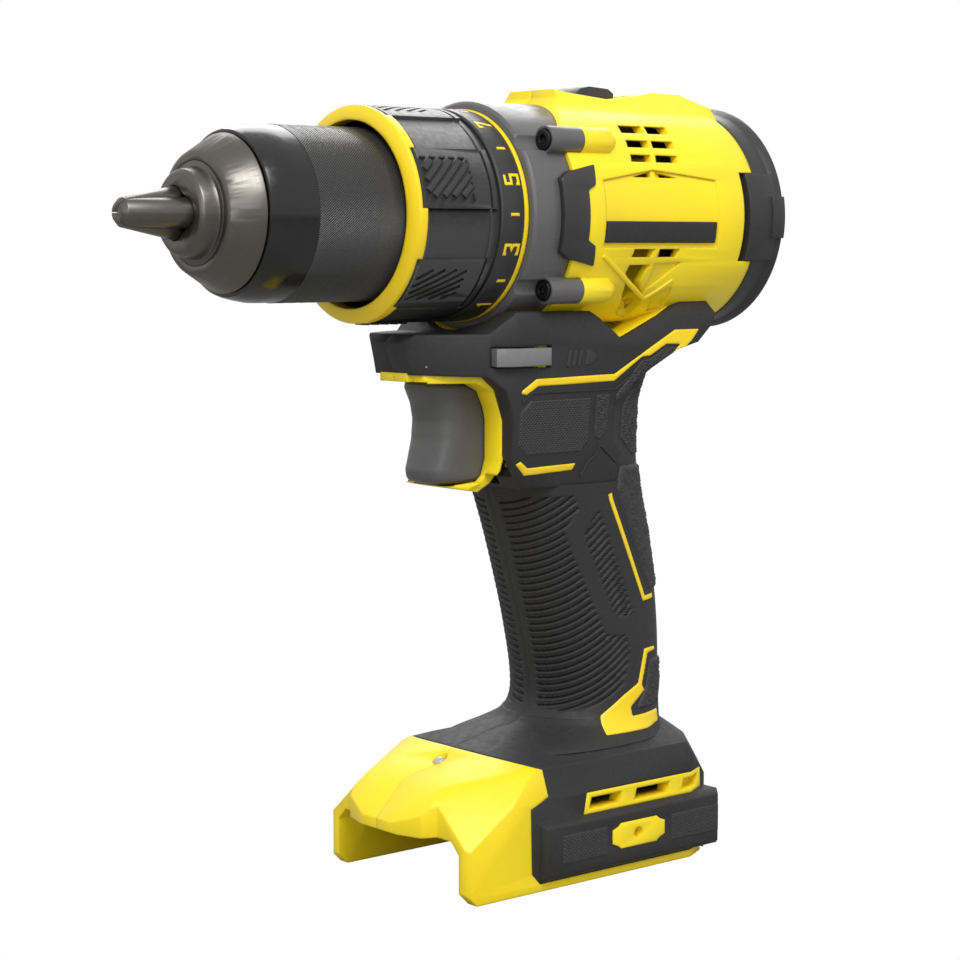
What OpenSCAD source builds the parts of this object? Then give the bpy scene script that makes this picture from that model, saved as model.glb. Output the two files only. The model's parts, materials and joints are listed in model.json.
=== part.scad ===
// Cordless drill driver, bare tool without its battery pack.
// The spindle axis runs along X with the chuck towards -X. The tool stands on the
// rims of its battery foot, so z = 0 is the underside of the foot.

/* [Overall] */
// Height of the spindle axis above the base
axis_height = 172.4; // [168:0.2:178]
// Clearance between parts that turn or slide on each other
running_gap = 0.1; // [0.06:0.02:0.16]

/* [Chuck] */
// Outer diameter of the chuck sleeve
sleeve_d = 43; // [42:0.2:44]
// Length of the chuck sleeve
sleeve_len = 41.3; // [40:0.1:43]
// Length of the steel cone ahead of the sleeve
cone_len = 8.2; // [6:0.1:9]
// Length of the nose ahead of the cone
nose_len = 4.6; // [3.6:0.1:6]
// Diameter of the nose
nose_d = 21.4; // [20:0.2:23]
// Diameter of each jaw
jaw_d = 7.2; // [6.8:0.1:7.4]
// Length of each jaw
jaw_len = 34; // [31:0.5:35]
// How far the closed jaws stand out of the nose
jaw_reach = 16.4; // [14:0.2:18]
// Angle between a jaw and the spindle axis
jaw_angle = 12.5; // [12:0.1:13]
// Diameter of the spindle thread that carries the chuck
spindle_thread_d = 12.7; // [12:0.1:13]

/* [Torque collar] */
// Outer diameter of the collar at its grip panels
collar_d = 54; // [53:0.2:56]
// Length of the grip part of the collar
collar_len = 27.1; // [26:0.1:29]
// Length of the number ring
number_len = 7.3; // [6.6:0.1:8.5]
// Length of the index ring behind the numbers
index_len = 1.5; // [1:0.1:2]
// Number of grip panels around the collar
collar_panels = 6; // [4:1:8]
// How far the clutch nut travels
clutch_travel = 3.5; // [2.5:0.1:4]

/* [Gearbox] */
// Diameter of the gear case flange
case_d = 58.4; // [58:0.2:60]
// Length of the gear case flange at its sides
flange_len = 13.6; // [12:0.2:15]
// Module of every gear
gear_module = 0.75; // [0.74:0.01:0.76]
// Teeth on each sun gear
sun_teeth = 18; // [18:3:18]
// Teeth on each planet gear
planet_teeth = 15; // [15:3:15]
// Face width of the planets of each stage
planet_width = 6.4; // [5.6:0.1:6.8]
// Distance of the four case screws from the centre planes, across
screw_y = 24; // [23.6:0.1:24.6]
// Distance of the four case screws from the centre planes, upwards
screw_z = 18.9; // [18.4:0.1:19.4]
// Diameter of the screw bosses
boss_d = 7; // [6.6:0.1:7.6]

/* [Motor] */
// Diameter of the motor can
motor_d = 37; // [35:0.5:39]
// Length of the motor can
motor_len = 44; // [42:0.5:46]
// Diameter of the motor shaft
shaft_d = 4; // [3.2:0.2:5]

/* [Motor housing] */
// Diameter of the motor housing
housing_d = 60.6; // [60.4:0.2:63]
// Wall thickness of the mouldings
wall = 2.4; // [2:0.1:2.8]
// Distance from the gear case front to the rear edge of the housing
housing_len = 79.4; // [78:0.2:84]
// Height of the top humps above the spindle axis
hump_h = 33.4; // [32.6:0.1:35]
// How far the rear cap stands out behind the housing
cap_len = 8.6; // [8:0.2:10]
// Depth of the rounding round the rear face of the cap
cap_dome = 2.4; // [1:0.2:4]

/* [Handle] */
// Width of the handle across the grip
grip_w = 37.6; // [36:0.2:40]
// Thickness of the soft grip moulding
grip_t = 2; // [1.6:0.1:2.4]
// Half width of the shoulder above the trigger
shoulder_y = 22; // [21.6:0.1:23]

/* [Trigger and switches] */
// Width of the trigger
trigger_w = 18; // [16:0.5:19]
// How far the trigger pulls in
trigger_travel = 6.5; // [5:0.1:7]
// How far the direction button moves each way
button_travel = 2.5; // [2:0.1:3]
// How far the speed selector slides
selector_travel = 7; // [6:0.2:8]

/* [Battery foot] */
// Width of the foot
foot_w = 57.8; // [56:0.2:60]
// Distance from the spindle axis datum to the front of the foot walls
foot_front = 31.5; // [30:0.2:33]
// Distance from the spindle axis datum to the rear of the foot
foot_rear = 61.6; // [60:0.2:64]
// Inner width between the battery rails
channel_w = 50.6; // [49:0.2:51.4]
// Height of the battery channel
channel_h = 15.8; // [14:0.2:16]
// How far the side bumpers stand out of the foot
bumper_t = 2.2; // [1.6:0.1:3]
// Radius of the accessory screw hole in each bumper plate
hook_hole_r = 1.45; // [1.2:0.05:1.8]

/* [Hidden] */
$fn = 96;

YELLOW = [0.98, 0.84, 0.10];
BLACK = [0.17, 0.17, 0.18];
CASE_GREY = [0.36, 0.36, 0.37];
STEEL = [0.62, 0.61, 0.60];
DARK_STEEL = [0.32, 0.31, 0.31];
TRIGGER_GREY = [0.45, 0.45, 0.45];

// Stations along the spindle axis, measured from the axis datum
case_x = -10;                                  // front face of the gear case flange
index_x = case_x - index_len;                  // front of the index ring
number_x = index_x - number_len;               // front of the number ring
collar_x = number_x - collar_len;              // front face of the collar
sleeve_tuck = 4.4;                             // how far the chuck sits inside the collar
chuck_rear_x = collar_x + sleeve_tuck;
sleeve_x = chuck_rear_x - sleeve_len;          // front of the sleeve
cone_x = sleeve_x - cone_len;                  // front of the steel cone
nose_x = cone_x - nose_len;                    // front of the nose
tip_x = nose_x - jaw_reach;                    // tips of the closed jaws
flange_x = case_x + flange_len;                // rear edge of the flange at its sides
housing_x = case_x + housing_len;              // rear edge of the motor housing
cap_x = housing_x + cap_len;                   // rear rim of the cap
rear_x = cap_x + cap_dome;                     // rearmost point
origin_x = -(tip_x + rear_x) / 2;              // puts the middle of the length at x = 0

// Chuck
sleeve_r = sleeve_d / 2;
sleeve_wall = 3.4;
jaw_r = jaw_d / 2;
jaw_tip_r = 3.2;                               // outer radius of the closed jaw tips
jaw_slope = tan(jaw_angle);
jaw_grip = 6.5;                                // how far each jaw face opens from the axis
jaw_slide = jaw_grip / sin(jaw_angle);
body_core_r = 12.4;                            // seat of the steel cone
nut_x = cone_x + 18.2;                         // front of the nut groove
nut_len = 7;
jaw_turn = 90;                                 // turns the first jaw to the near side
screw_head_x = nose_x + 29.1;                  // floor under the chuck screw's head
thread_x = screw_head_x + 4.4;                 // front end of the spindle
screw_shank_r = 2.5;
screw_head_r = 4;
shoulder_r = 8.5;

// Torque collar
collar_r = collar_d / 2;
collar_low = 0.6;                              // depth of the smooth panels
collar_bore_r = collar_r - 6.4;
mouth_r = sleeve_r + 1.8;                      // opening round the chuck sleeve
number_r = collar_r - 0.3;
ring_bore_r = collar_r - 2.1;                  // bore of the number and index rings

// Gearbox
ring_teeth = sun_teeth + 2 * planet_teeth;
planet_orbit = (sun_teeth + planet_teeth) * gear_module / 2;
ring_pitch_r = ring_teeth * gear_module / 2;
ring_r = ring_pitch_r + 3;
case_bore_r = ring_r + running_gap;
barrel_r = case_bore_r + wall;                 // gear case inside the housing
pin_r = 2.2;
plate_t = 2.6;                                 // thickness of each carrier plate
plate_r = ring_pitch_r - 1.6;
stage_gap = 0.3;
stage3_x = case_x + 0.6;                       // front of the output stage
carrier2_x = stage3_x + planet_width + 2 * stage_gap;
stage2_x = carrier2_x + plate_t + stage_gap;
carrier1_x = stage2_x + planet_width + 2 * stage_gap;
stage1_x = carrier1_x + plate_t + stage_gap;
gearbox_end_x = stage1_x + planet_width + 2 * stage_gap;
shift_travel = selector_travel / 2;
ring1_x = stage2_x + planet_width + shift_travel + stage_gap;
nose_r = 14.4;                                 // threaded nose that carries the clutch
nose_tube_x = chuck_rear_x + 3;
bearing_r = 11;
bearing_len = 7;
bearing_seat_r = 5;                            // outer radius of the motor's bearings
journal_r = 6;
wall_x = case_x - 9.6;                         // front face of the case's front wall
nut_rest_x = nose_tube_x + 2.2;
clutch_nut_len = 5;
washer_t = 1.2;
washer_x = wall_x - washer_t - 0.1;
clutch_pin_r = 1.4;
clutch_pin_orbit = ring_pitch_r + 1.4;

// Motor
motor_r = motor_d / 2;
shaft_r = shaft_d / 2;
motor_x = gearbox_end_x + 1.6;
motor_end_x = motor_x + motor_len;

// Housing and handle
housing_r = housing_d / 2;
inner_r = housing_r - wall;
case_r = case_d / 2;
boss_r = boss_d / 2;
boss_end_x = flange_x + 4.6;
fairing_x = boss_end_x + 12.5;
half_grip = grip_w / 2;
// Height, front, rear and half width share of the handle, from the foot up to the shoulder
HANDLE = [
    [-141, -12, 54, 1.36], [-138.6, -8, 53.6, 1.25], [-136.4, 2, 53.4, 1.13],
    [-134.4, 9.5, 53.2, 1.06], [-131, 13.4, 53, 1.02], [-124, 14, 52.9, 1.0],
    [-110, 11.2, 52.8, 0.99], [-97, 7.6, 51.6, 0.98], [-83, 3.4, 48.8, 0.99],
    [-72, -0.4, 46, 1.0], [-60, -4.4, 44.8, 1.03], [-48, -6, 45.4, 1.06],
    [-41, -7, 48.4, 1.10], [-36, -7, 52, 1.12]
];
ring_points = 28;

// Trigger
trigger_top = -42.2;
trigger_bottom = -68.4;
trigger_rear = -8.8;
trigger_nose = -26.6;
beak_x = -35;                                   // front of the beak over the trigger
slot_gap = 0.4;

// Foot
base_z = -axis_height;
half_foot = foot_w / 2;
visor_x = -38.2;
visor_y = 14.9;
channel_top = base_z + channel_h;
bumper_z = [base_z + 2.5, base_z + 17.7];
bumper_x = [-7.8, 56];
plate_x = [15.7, 34.5];
hook_x = (plate_x[0] + plate_x[1]) / 2 - 0.2;
hook_z = base_z + 10.8;

// Torque collar panels
panel_half = 360 / collar_panels / 2 - 2.6;    // half angle of a raised grip panel
panel_turn = 19.5;                             // turn of the first raised panel

// Speed selector and shift wire
wire_x = stage2_x + planet_width / 2;
hoop_r = barrel_r + 1.1;
selector_x = [24.6, 38.4];
selector_w = 11;
selector_z = housing_r - 4.7;                  // underside of the selector's plate

// Screws
screw_r = 1.7;
screw_head_d = 5.2;
screw_head_y = 10;                             // seat of the housing screws' heads
// Housing screws from the right side, as [x, z]
SCREWS = [
    [housing_x - 9.4, 28.6], [housing_x - 19.4, -30.6], [-26, -35.4], [36, -53], [40, -92],
    [41, -122], [54.4, -147.6]
];

// Vent openings in each side of the motor housing: left, right, low and high edges
VENTS = [
    [26.8, 35.2, 21.5, 23.5], [36.2, 44.2, 21.5, 23.5],
    [26, 34, 17.7, 19.6], [35, 43, 17.7, 19.6],
    [25.2, 32.4, 13.9, 15.8], [34, 42, 13.9, 15.8],
    [24, 31.2, -10.6, -8.5], [33, 40.2, -10.6, -8.5]
];
cap_panel_z = 11.6;                            // half height of the rear cap's side panels
pad_base_r = max(case_r, housing_r);
pad_r = pad_base_r + 0.7;                       // outer radius of the black side pads

// Trigger frame, switch and direction button
frame_y = trigger_w / 2 + 6.8;
rod_r = 2.6;                                   // rod that carries the trigger's push
switch_x = trigger_rear + trigger_travel + 0.5;
switch_z = (trigger_top + trigger_bottom) / 2;
button_x = [-15.5, -1.5];
button_z = [-38, -33.4];

// Battery foot details and lamp
rail_w = 3;
strip_z = [-154.6, -149];
floor_t = 2;                                   // floor between battery channel and terminals
terminal_top = channel_top + 12;
led_x = -17.1;
led_z = -142.6;
led_r = 1.9;

// ---- helpers -------------------------------------------------------------

// Moves a part from the axis datum to its place above the base
module placed() {
    translate([origin_x, 0, axis_height]) children();
}

// Extrudes an outline drawn in x and z evenly to both sides of the centre plane
module across(width) {
    rotate([90, 0, 0]) linear_extrude(height = width, center = true) children();
}

// Extrudes an outline drawn in x and z from one y to another
module between_y(y0, y1) {
    translate([0, y1, 0]) rotate([90, 0, 0]) linear_extrude(height = y1 - y0) children();
}

// Extrudes an outline drawn in y and z along X
module along(x0, x1) {
    translate([x0, 0, 0]) rotate([90, 0, 90]) linear_extrude(height = x1 - x0) children();
}

// A round bar along X
module bar(x0, x1, r) {
    translate([x0, 0, 0]) rotate([0, 90, 0]) cylinder(h = x1 - x0, r = r);
}

// A tube along X
module tube(x0, x1, r_out, r_in) {
    difference() {
        bar(x0, x1, r_out);
        bar(x0 - 1, x1 + 1, r_in);
    }
}

// A shape turned about X from points of [x, radius]
module turned(profile) {
    rotate([0, 90, 0]) rotate_extrude() polygon([for (p = profile) [p[1], p[0]]]);
}

// A box from its lowest to its highest corner
module block(low, high) {
    translate(low) cube(high - low);
}

// Keeps one side of the centre plane: -1 is the left half, 1 the right half
module half(side) {
    reach = 400;
    intersection() {
        children();
        translate([-reach, side < 0 ? -reach : 0, -reach]) cube([2 * reach, reach, 2 * reach]);
    }
}

// Both sides of the centre plane
module mirrored() {
    children();
    mirror([0, 1, 0]) children();
}

// One rounded horizontal section of the handle at a height, drawn in by an inset
function handle_ring(s, inset) = let (
    middle = (s[1] + s[2]) / 2,
    depth = (s[2] - s[1]) / 2 - inset,
    width = half_grip * s[3] - inset,
    power = 0.86
) [
    for (i = [0 : ring_points - 1])
        let (t = 360 * i / ring_points, c = cos(t), q = sin(t))
        [
            middle + depth * sign(c) * pow(abs(c), power),
            width * sign(q) * pow(abs(q), power),
            s[0]
        ]
];

// A closed skin over a stack of rings, lowest ring first
module skin(rings) {
    n = len(rings[0]);
    last = len(rings) - 1;
    side_faces = [
        for (k = [0 : last - 1], i = [0 : n - 1])
            let (a = k * n + i, b = k * n + (i + 1) % n)
            each [[a, a + n, b], [b, a + n, b + n]]
    ];
    polyhedron(
        points = [for (r = rings, p = r) p],
        faces = concat(
            [[for (i = [0 : n - 1]) i]],
            [[for (i = [n - 1 : -1 : 0]) last * n + i]],
            side_faces
        )
    );
}

// The handle's outer form, drawn in by an inset
module handle_form(inset) {
    skin([for (s = HANDLE) handle_ring(s, inset)]);
}

// Turn angle of an involute flank at a radius, in degrees
function involute(base_r, r) = r <= base_r ? 0 :
    let (a = acos(base_r / r)) tan(a) * 180 / PI - a;

// Outline of a spur gear with its first tooth towards +x
function gear_outline(teeth, add, ded, play) = let (
    pitch_r = teeth * gear_module / 2,
    base_r = pitch_r * cos(20),
    tip_r = pitch_r + add * gear_module,
    root_r = pitch_r - ded * gear_module,
    start_r = max(base_r, root_r),
    half_tooth = 90 / teeth - play / (2 * pitch_r) * 180 / PI + involute(base_r, pitch_r),
    flank = concat(
        root_r < start_r ? [[root_r, half_tooth]] : [],
        [for (i = [0 : 3]) let (r = start_r + (tip_r - start_r) * i / 3)
            [r, half_tooth - involute(base_r, r)]]
    ),
    last = len(flank) - 1
) [
    for (k = [0 : teeth - 1])
        let (c = 360 * k / teeth)
        each concat(
            [for (i = [0 : last]) flank[i][0] * [cos(c - flank[i][1]), sin(c - flank[i][1])]],
            [for (i = [last : -1 : 0]) flank[i][0] * [cos(c + flank[i][1]), sin(c + flank[i][1])]]
        )
];

// A spur gear along X from x0 with its first tooth upwards
module spur(x0, width, teeth) {
    along(x0, x0 + width) rotate(90) polygon(gear_outline(teeth, 0.95, 1.2, 0.06));
}

// An internal gear along X
module ring_gear(x0, width, outer_r) {
    difference() {
        bar(x0, x0 + width, outer_r);
        along(x0 - 1, x0 + width + 1) rotate(90)
            polygon(gear_outline(ring_teeth, 1.15, 0.8, -0.06));
    }
}

// Repeats a part for each of three planets or jaws
module at_third(k) {
    rotate([120 * k, 0, 0]) children();
}

// ---- chuck ---------------------------------------------------------------

// Radius of a jaw's centre line at a station
function jaw_line(x) = jaw_tip_r - jaw_r / cos(jaw_angle) + jaw_slope * (x - tip_x);

// Outer radius reached by a jaw at a station, the same wherever the jaw slides
function jaw_outer(x) = jaw_tip_r + jaw_slope * (x - tip_x);

// A bar along the first jaw's line, from one distance past the tip plane to another
module jaw_bar(from, to, r) {
    translate([tip_x, 0, jaw_line(tip_x)]) rotate([0, 90 - jaw_angle, 0])
        translate([0, 0, from]) cylinder(h = to - from, r = r);
}

module chuck_body() {
    color(DARK_STEEL) placed() difference() {
        turned([
            [nose_x, 0], [nose_x, nose_d / 2 - 1.3], [nose_x + 0.9, nose_d / 2 - 0.4],
            [cone_x, nose_d / 2 + 0.3], [cone_x, body_core_r], [nut_x - 3, body_core_r],
            [nut_x - 3, 15], [nut_x, 15], [nut_x, 11.3], [nut_x + nut_len, 11.3],
            [nut_x + nut_len, 17], [chuck_rear_x - 1.2, 17], [chuck_rear_x, 16],
            [chuck_rear_x, 0]
        ]);
        for (k = [0 : 2]) rotate([jaw_turn, 0, 0]) at_third(k)
            jaw_bar(0, jaw_len + jaw_slide + 14, jaw_r + running_gap);
        bar(nose_x - 1, screw_head_x, 5);
        bar(thread_x, chuck_rear_x + 1, spindle_thread_d / 2);
        bar(screw_head_x - 1, thread_x + 1, screw_shank_r);
        bar(chuck_rear_x - 1.8, chuck_rear_x + 1, shoulder_r + running_gap);
    }
}

module chuck_front_ring() {
    color(STEEL) placed() turned([
        [cone_x, body_core_r], [cone_x, 14.2], [cone_x + 0.5, 14.9],
        [sleeve_x - 0.3, sleeve_r - 2.3], [sleeve_x - 0.3, body_core_r]
    ]);
}

module chuck_sleeve() {
    bore = sleeve_r - sleeve_wall - 0.5;
    color(BLACK) placed() turned([
        [sleeve_x, body_core_r + 3.2], [sleeve_x, sleeve_r - 1.7], [sleeve_x + 2.4, sleeve_r - 0.9],
        [sleeve_x + 6.8, sleeve_r - 0.15], [sleeve_x + 13, sleeve_r - 0.15],
        [sleeve_x + 13.2, sleeve_r], [chuck_rear_x - 1, sleeve_r],
        [chuck_rear_x, sleeve_r - 0.8], [chuck_rear_x, bore + 0.5],
        [nut_x + nut_len + 3, bore + 0.5], [nut_x + nut_len + 3, bore],
        [nut_x - 4, bore], [nut_x - 4, body_core_r + 3.2]
    ]);
}

module chuck_nut() {
    front = nut_x + 0.3;
    rear = nut_x + nut_len - 0.3;
    color(DARK_STEEL) placed() turned([
        [front, jaw_outer(front) + running_gap], [front, sleeve_r - sleeve_wall - 0.5],
        [rear, sleeve_r - sleeve_wall - 0.5], [rear, jaw_outer(rear) + running_gap]
    ]);
}

// A jaw with its gripping faces on the axis and a threaded back
module jaw(k) {
    face_gap = 0.12;
    spread = 30;
    teeth = 9;
    pitch = 1.6;
    color(STEEL) placed() rotate([jaw_turn, 0, 0]) at_third(k) intersection() {
        difference() {
            jaw_bar(-3, jaw_len, jaw_r);
            for (i = [0 : teeth - 1])
                translate([tip_x, 0, jaw_line(tip_x)]) rotate([0, 90 - jaw_angle, 0])
                    translate([0, 0, jaw_len - 2 - i * pitch]) difference() {
                        cylinder(h = pitch / 2, r = jaw_r + 1);
                        translate([0, 0, -1]) cylinder(h = pitch + 2, r = jaw_r - 0.5);
                    }
        }
        turned([
            [tip_x, 0], [tip_x, jaw_tip_r - 0.9], [tip_x + 1.4, jaw_tip_r + 0.5],
            [tip_x + jaw_len + 9, 2 * sleeve_r], [tip_x + jaw_len + 9, 0]
        ]);
        along(tip_x - 1, tip_x + jaw_len + 9) polygon([
            [0, face_gap],
            [spread * sin(60), face_gap + spread * cos(60)], [spread * sin(60), spread],
            [-spread * sin(60), spread], [-spread * sin(60), face_gap + spread * cos(60)]
        ]);
    }
}

module chuck_screw() {
    color(STEEL) placed() difference() {
        union() {
            bar(screw_head_x - 2.4, screw_head_x, screw_head_r);
            bar(screw_head_x, thread_x + 12, screw_shank_r);
        }
        bar(screw_head_x - 3, screw_head_x - 1, 1.6, $fn = 6);
    }
}

module output_spindle() {
    thread_r = spindle_thread_d / 2;
    shoulder_x = chuck_rear_x - 1.8;
    color(STEEL) placed() difference() {
        union() {
            turned([
                [thread_x, 0], [thread_x, thread_r - 0.8], [thread_x + 0.8, thread_r],
                [shoulder_x, thread_r], [shoulder_x, shoulder_r], [nose_tube_x - 0.4, shoulder_r],
                [nose_tube_x - 0.4, journal_r], [stage3_x - stage_gap - plate_t, journal_r],
                [stage3_x - stage_gap - plate_t, plate_r - 1.6],
                [stage3_x - stage_gap, plate_r - 1.6], [stage3_x - stage_gap, 0]
            ]);
            planet_pins(stage3_x);
        }
        bar(thread_x - 1, thread_x + 14, screw_shank_r);
    }
}

// Three pins standing behind a carrier plate
module planet_pins(x0) {
    for (k = [0 : 2]) at_third(k) translate([0, 0, planet_orbit])
        bar(x0 - stage_gap - 0.5, x0 + planet_width, pin_r);
}

// ---- gearbox -------------------------------------------------------------

module carrier(plate_x0, stage_x, sun_x, sun_end) {
    color(STEEL) placed() union() {
        bar(plate_x0, plate_x0 + plate_t, plate_r);
        planet_pins(stage_x);
        spur(sun_x, sun_end - sun_x, sun_teeth);
    }
}

module carrier_2() carrier(carrier2_x, stage2_x, stage3_x, carrier2_x + 0.5);
module carrier_1() carrier(carrier1_x, stage1_x, stage2_x, carrier1_x + 0.5);

module planet(k, x0) {
    color(DARK_STEEL) placed() at_third(k) translate([0, 0, planet_orbit]) difference() {
        spur(x0, planet_width, planet_teeth);
        bar(x0 - 1, x0 + planet_width + 1, pin_r + running_gap / 2);
    }
}

module ring_gear_3() {
    color(DARK_STEEL) placed() ring_gear(stage3_x, planet_width + stage_gap, ring_r);
}

// The sliding ring gear, grooved for the shift wire
module ring_gear_2() {
    middle = stage2_x + planet_width / 2;
    color(DARK_STEEL) placed() difference() {
        ring_gear(stage2_x, planet_width, ring_r - running_gap);
        tube(middle - 0.9, middle + 0.9, ring_r + 2, ring_r - 1.2);
    }
}

module ring_gear_1() {
    color(DARK_STEEL) placed() ring_gear(ring1_x, gearbox_end_x - ring1_x, ring_r);
}

// A spring hoop whose two ends reach into the sliding ring gear's groove
module shift_wire() {
    wire_r = 0.7;
    leg_r = wire_r - 0.08;
    color(STEEL) placed() union() {
        intersection() {
            translate([wire_x, 0, 0]) rotate([0, 90, 0]) rotate_extrude()
                translate([hoop_r, 0]) circle(r = wire_r, $fn = 24);
            block([wire_x - 5, -50, -2], [wire_x + 5, 50, 50]);
        }
        mirrored() translate([wire_x, -hoop_r, 0]) rotate([-90, 0, 0])
            cylinder(h = hoop_r - ring_r + 0.7, r = leg_r);
        translate([wire_x, 0, hoop_r]) cylinder(h = selector_z + 1.2 - hoop_r, r = leg_r);
    }
}

module gear_case() {
    color(CASE_GREY) placed() difference() {
        union() {
            turned([
                [nose_tube_x, journal_r + 2], [nose_tube_x, nose_r], [wall_x, nose_r],
                [wall_x, ring_bore_r - 0.5], [case_x, ring_bore_r - 0.5], [case_x, case_r - 0.8],
                [case_x + 0.8, case_r], [flange_x + 12.2, case_r], [flange_x + 12.2, barrel_r],
                [gearbox_end_x + 0.4, barrel_r], [gearbox_end_x + 0.4, journal_r + 2]
            ]);
            case_bosses(case_x + 7.4, boss_end_x, boss_r);
            boss_webs(case_x + 7.4, boss_end_x);
        }
        // the moulded housing starts behind this line
        difference() {
            tube(case_x + 1, gearbox_end_x + 10, case_r + 20, barrel_r);
            across(200) case_region();
            case_bosses(case_x + 2, boss_end_x, boss_r);
        }
        // scooped pockets ahead of the screw heads
        case_bosses(case_x - 1, case_x + 9, boss_r - 0.7);
        case_bosses(case_x + 8, boss_end_x + 1, screw_r + 0.1);
        bar(nose_tube_x - 1, nose_tube_x + bearing_len, bearing_r);
        bar(wall_x - 1, wall_x + 5.4, 9.4);
        bar(wall_x + 5.4, stage3_x, plate_r - 1);
        bar(stage3_x, gearbox_end_x + 1, case_bore_r);
        for (k = [0 : 5]) rotate([60 * k + 30, 0, 0]) translate([0, 0, clutch_pin_orbit])
            bar(wall_x - 1, stage3_x + 1, clutch_pin_r + running_gap);
        // windows and slot that let the shift wire slide, and room for the selector's tongue
        mirrored() block(
            [wire_x - 1, -barrel_r - 3, -1],
            [wire_x + shift_travel + 1, -case_bore_r + 1, 1]
        );
        tube(wire_x - 1, wire_x + shift_travel + 1, hoop_r + 1, barrel_r - 0.1);
        block([wire_x - shift_travel - 3, -4.2, barrel_r - 0.5], [flange_x + 14, 4.2, selector_z + 1.9]);
    }
}

// Outline of the zone that the gear case fills, seen from the side
module case_region() {
    polygon([
        [case_x - 40, -60], [flange_x, -60], [flange_x, 18], [flange_x + 2, 21.4],
        [flange_x + 4.6, 24.2], [flange_x + 10.4, 30.8], [flange_x + 12, 60], [case_x - 40, 60]
    ]);
}

// Four bars on the case screws' axes
module case_bosses(x0, x1, r) {
    for (y = [-screw_y, screw_y], z = [-screw_z, screw_z])
        translate([0, y, z]) bar(x0, x1, r);
}

// Four webs that tie the screws' bosses to the round case
module boss_webs(x0, x1) {
    for (s = [-1, 1], q = [-1, 1]) along(x0, x1) polygon([
        [s * screw_y - 1.6 * q, q * screw_z + 1.6 * s], [s * screw_y + 1.6 * q, q * screw_z - 1.6 * s],
        0.6 * [s * screw_y + 1.6 * q, q * screw_z - 1.6 * s],
        0.6 * [s * screw_y - 1.6 * q, q * screw_z + 1.6 * s]
    ]);
}

module case_screws() {
    head_x = case_x + 9;
    color(DARK_STEEL) placed() for (y = [-screw_y, screw_y], z = [-screw_z, screw_z])
        translate([0, y, z]) difference() {
            union() {
                bar(head_x - 2.2, head_x - 0.02, screw_head_d / 2);
                bar(head_x - 0.5, boss_end_x + 9, screw_r - 0.05);
            }
            bar(head_x - 3, head_x - 1, 1.3, $fn = 6);
        }
}

module front_bearing() {
    color(STEEL) placed() bearing(nose_tube_x, bearing_len - 0.2, bearing_r, journal_r + running_gap / 3);
}

// A ball bearing as one ring with grooved faces
module bearing(x0, width, r_out, r_in) {
    third = (r_out - r_in) / 3;
    difference() {
        tube(x0, x0 + width, r_out, r_in);
        tube(x0 - 1, x0 + 0.4, r_out - third, r_in + third);
        tube(x0 + width - 0.4, x0 + width + 1, r_out - third, r_in + third);
    }
}

module rear_bush() {
    color([0.7, 0.55, 0.3]) placed() tube(wall_x, wall_x + 5.2, 9.4, journal_r + running_gap / 3);
}

// ---- torque clutch and collar --------------------------------------------

module clutch_nut() {
    color(BLACK) placed() difference() {
        union() {
            bar(nut_rest_x, nut_rest_x + clutch_nut_len, collar_bore_r - running_gap);
            for (k = [0 : 3]) rotate([90 * k, 0, 0])
                block([nut_rest_x, -1.9, 0], [nut_rest_x + clutch_nut_len, 1.9, collar_bore_r + 1.2]);
        }
        bar(nut_rest_x - 1, nut_rest_x + clutch_nut_len + 1, nose_r + running_gap);
    }
}

// A wire swept along a helix about X
module coil(x0, x1, r, wire_r, turns) {
    steps = 16;
    sides = 8;
    rings = turns * steps;
    skin([
        for (k = [0 : rings])
            let (a = 360 * k / steps, x = x0 + wire_r + (x1 - x0 - 2 * wire_r) * k / rings)
            [
                for (i = [0 : sides - 1])
                    let (b = -360 * i / sides, q = r + wire_r * cos(b))
                    [x + wire_r * sin(b), q * cos(a), q * sin(a)]
            ]
    ]);
}

module clutch_spring() {
    color(STEEL) placed()
        coil(nut_rest_x + clutch_nut_len + 0.05, washer_x - 0.05, nose_r + 2.4, 1.1, 4);
}

module clutch_washer() {
    color(STEEL) placed() tube(washer_x, washer_x + washer_t, collar_bore_r - 0.4, nose_r + 0.2);
}

module clutch_pins() {
    color(STEEL) placed() for (k = [0 : 5]) rotate([60 * k + 30, 0, 0])
        translate([0, 0, clutch_pin_orbit]) bar(wall_x - 0.05, stage3_x - 0.05, clutch_pin_r);
}

module torque_collar() {
    body_x = collar_x + 3.8;
    color(BLACK) placed() difference() {
        union() {
            turned([
                [body_x, mouth_r], [body_x, collar_r - collar_low - 0.6],
                [body_x + 1, collar_r - collar_low], [number_x - 1.4, collar_r - collar_low],
                [number_x - 1.4, collar_r - 1], [number_x, collar_r - 1], [number_x, ring_bore_r],
                [wall_x - 0.5, ring_bore_r], [wall_x - 0.5, collar_bore_r],
                [body_x + 8, collar_bore_r], [body_x + 4, mouth_r]
            ]);
            for (k = [0 : collar_panels - 1]) rotate([-panel_turn - 360 * k / collar_panels, 0, 0])
                collar_panel(body_x);
        }
        for (k = [0 : 3]) rotate([90 * k, 0, 0]) block(
            [nut_rest_x - 1.5, -2, 0],
            [nut_rest_x + clutch_nut_len + clutch_travel + 1, 2, collar_bore_r + 1.3]
        );
    }
}

// One raised panel with bevelled edges, centred on the near side
module collar_panel(body_x) {
    low_r = collar_r - collar_low - 1.5;
    reach = 40;
    intersection() {
        turned([
            [body_x - 1.6, low_r], [body_x - 1.6, collar_r - 0.8], [body_x - 0.6, collar_r],
            [number_x - 1.4, collar_r], [number_x - 1.4, low_r]
        ]);
        along(body_x - 5, number_x + 5) polygon([
            [0, 0],
            reach * [-cos(panel_half / 2 + 3), sin(panel_half / 2 + 3)],
            reach * [-cos(panel_half / 2 + 3), -sin(panel_half / 2 + 3)]
        ]);
    }
}

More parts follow.
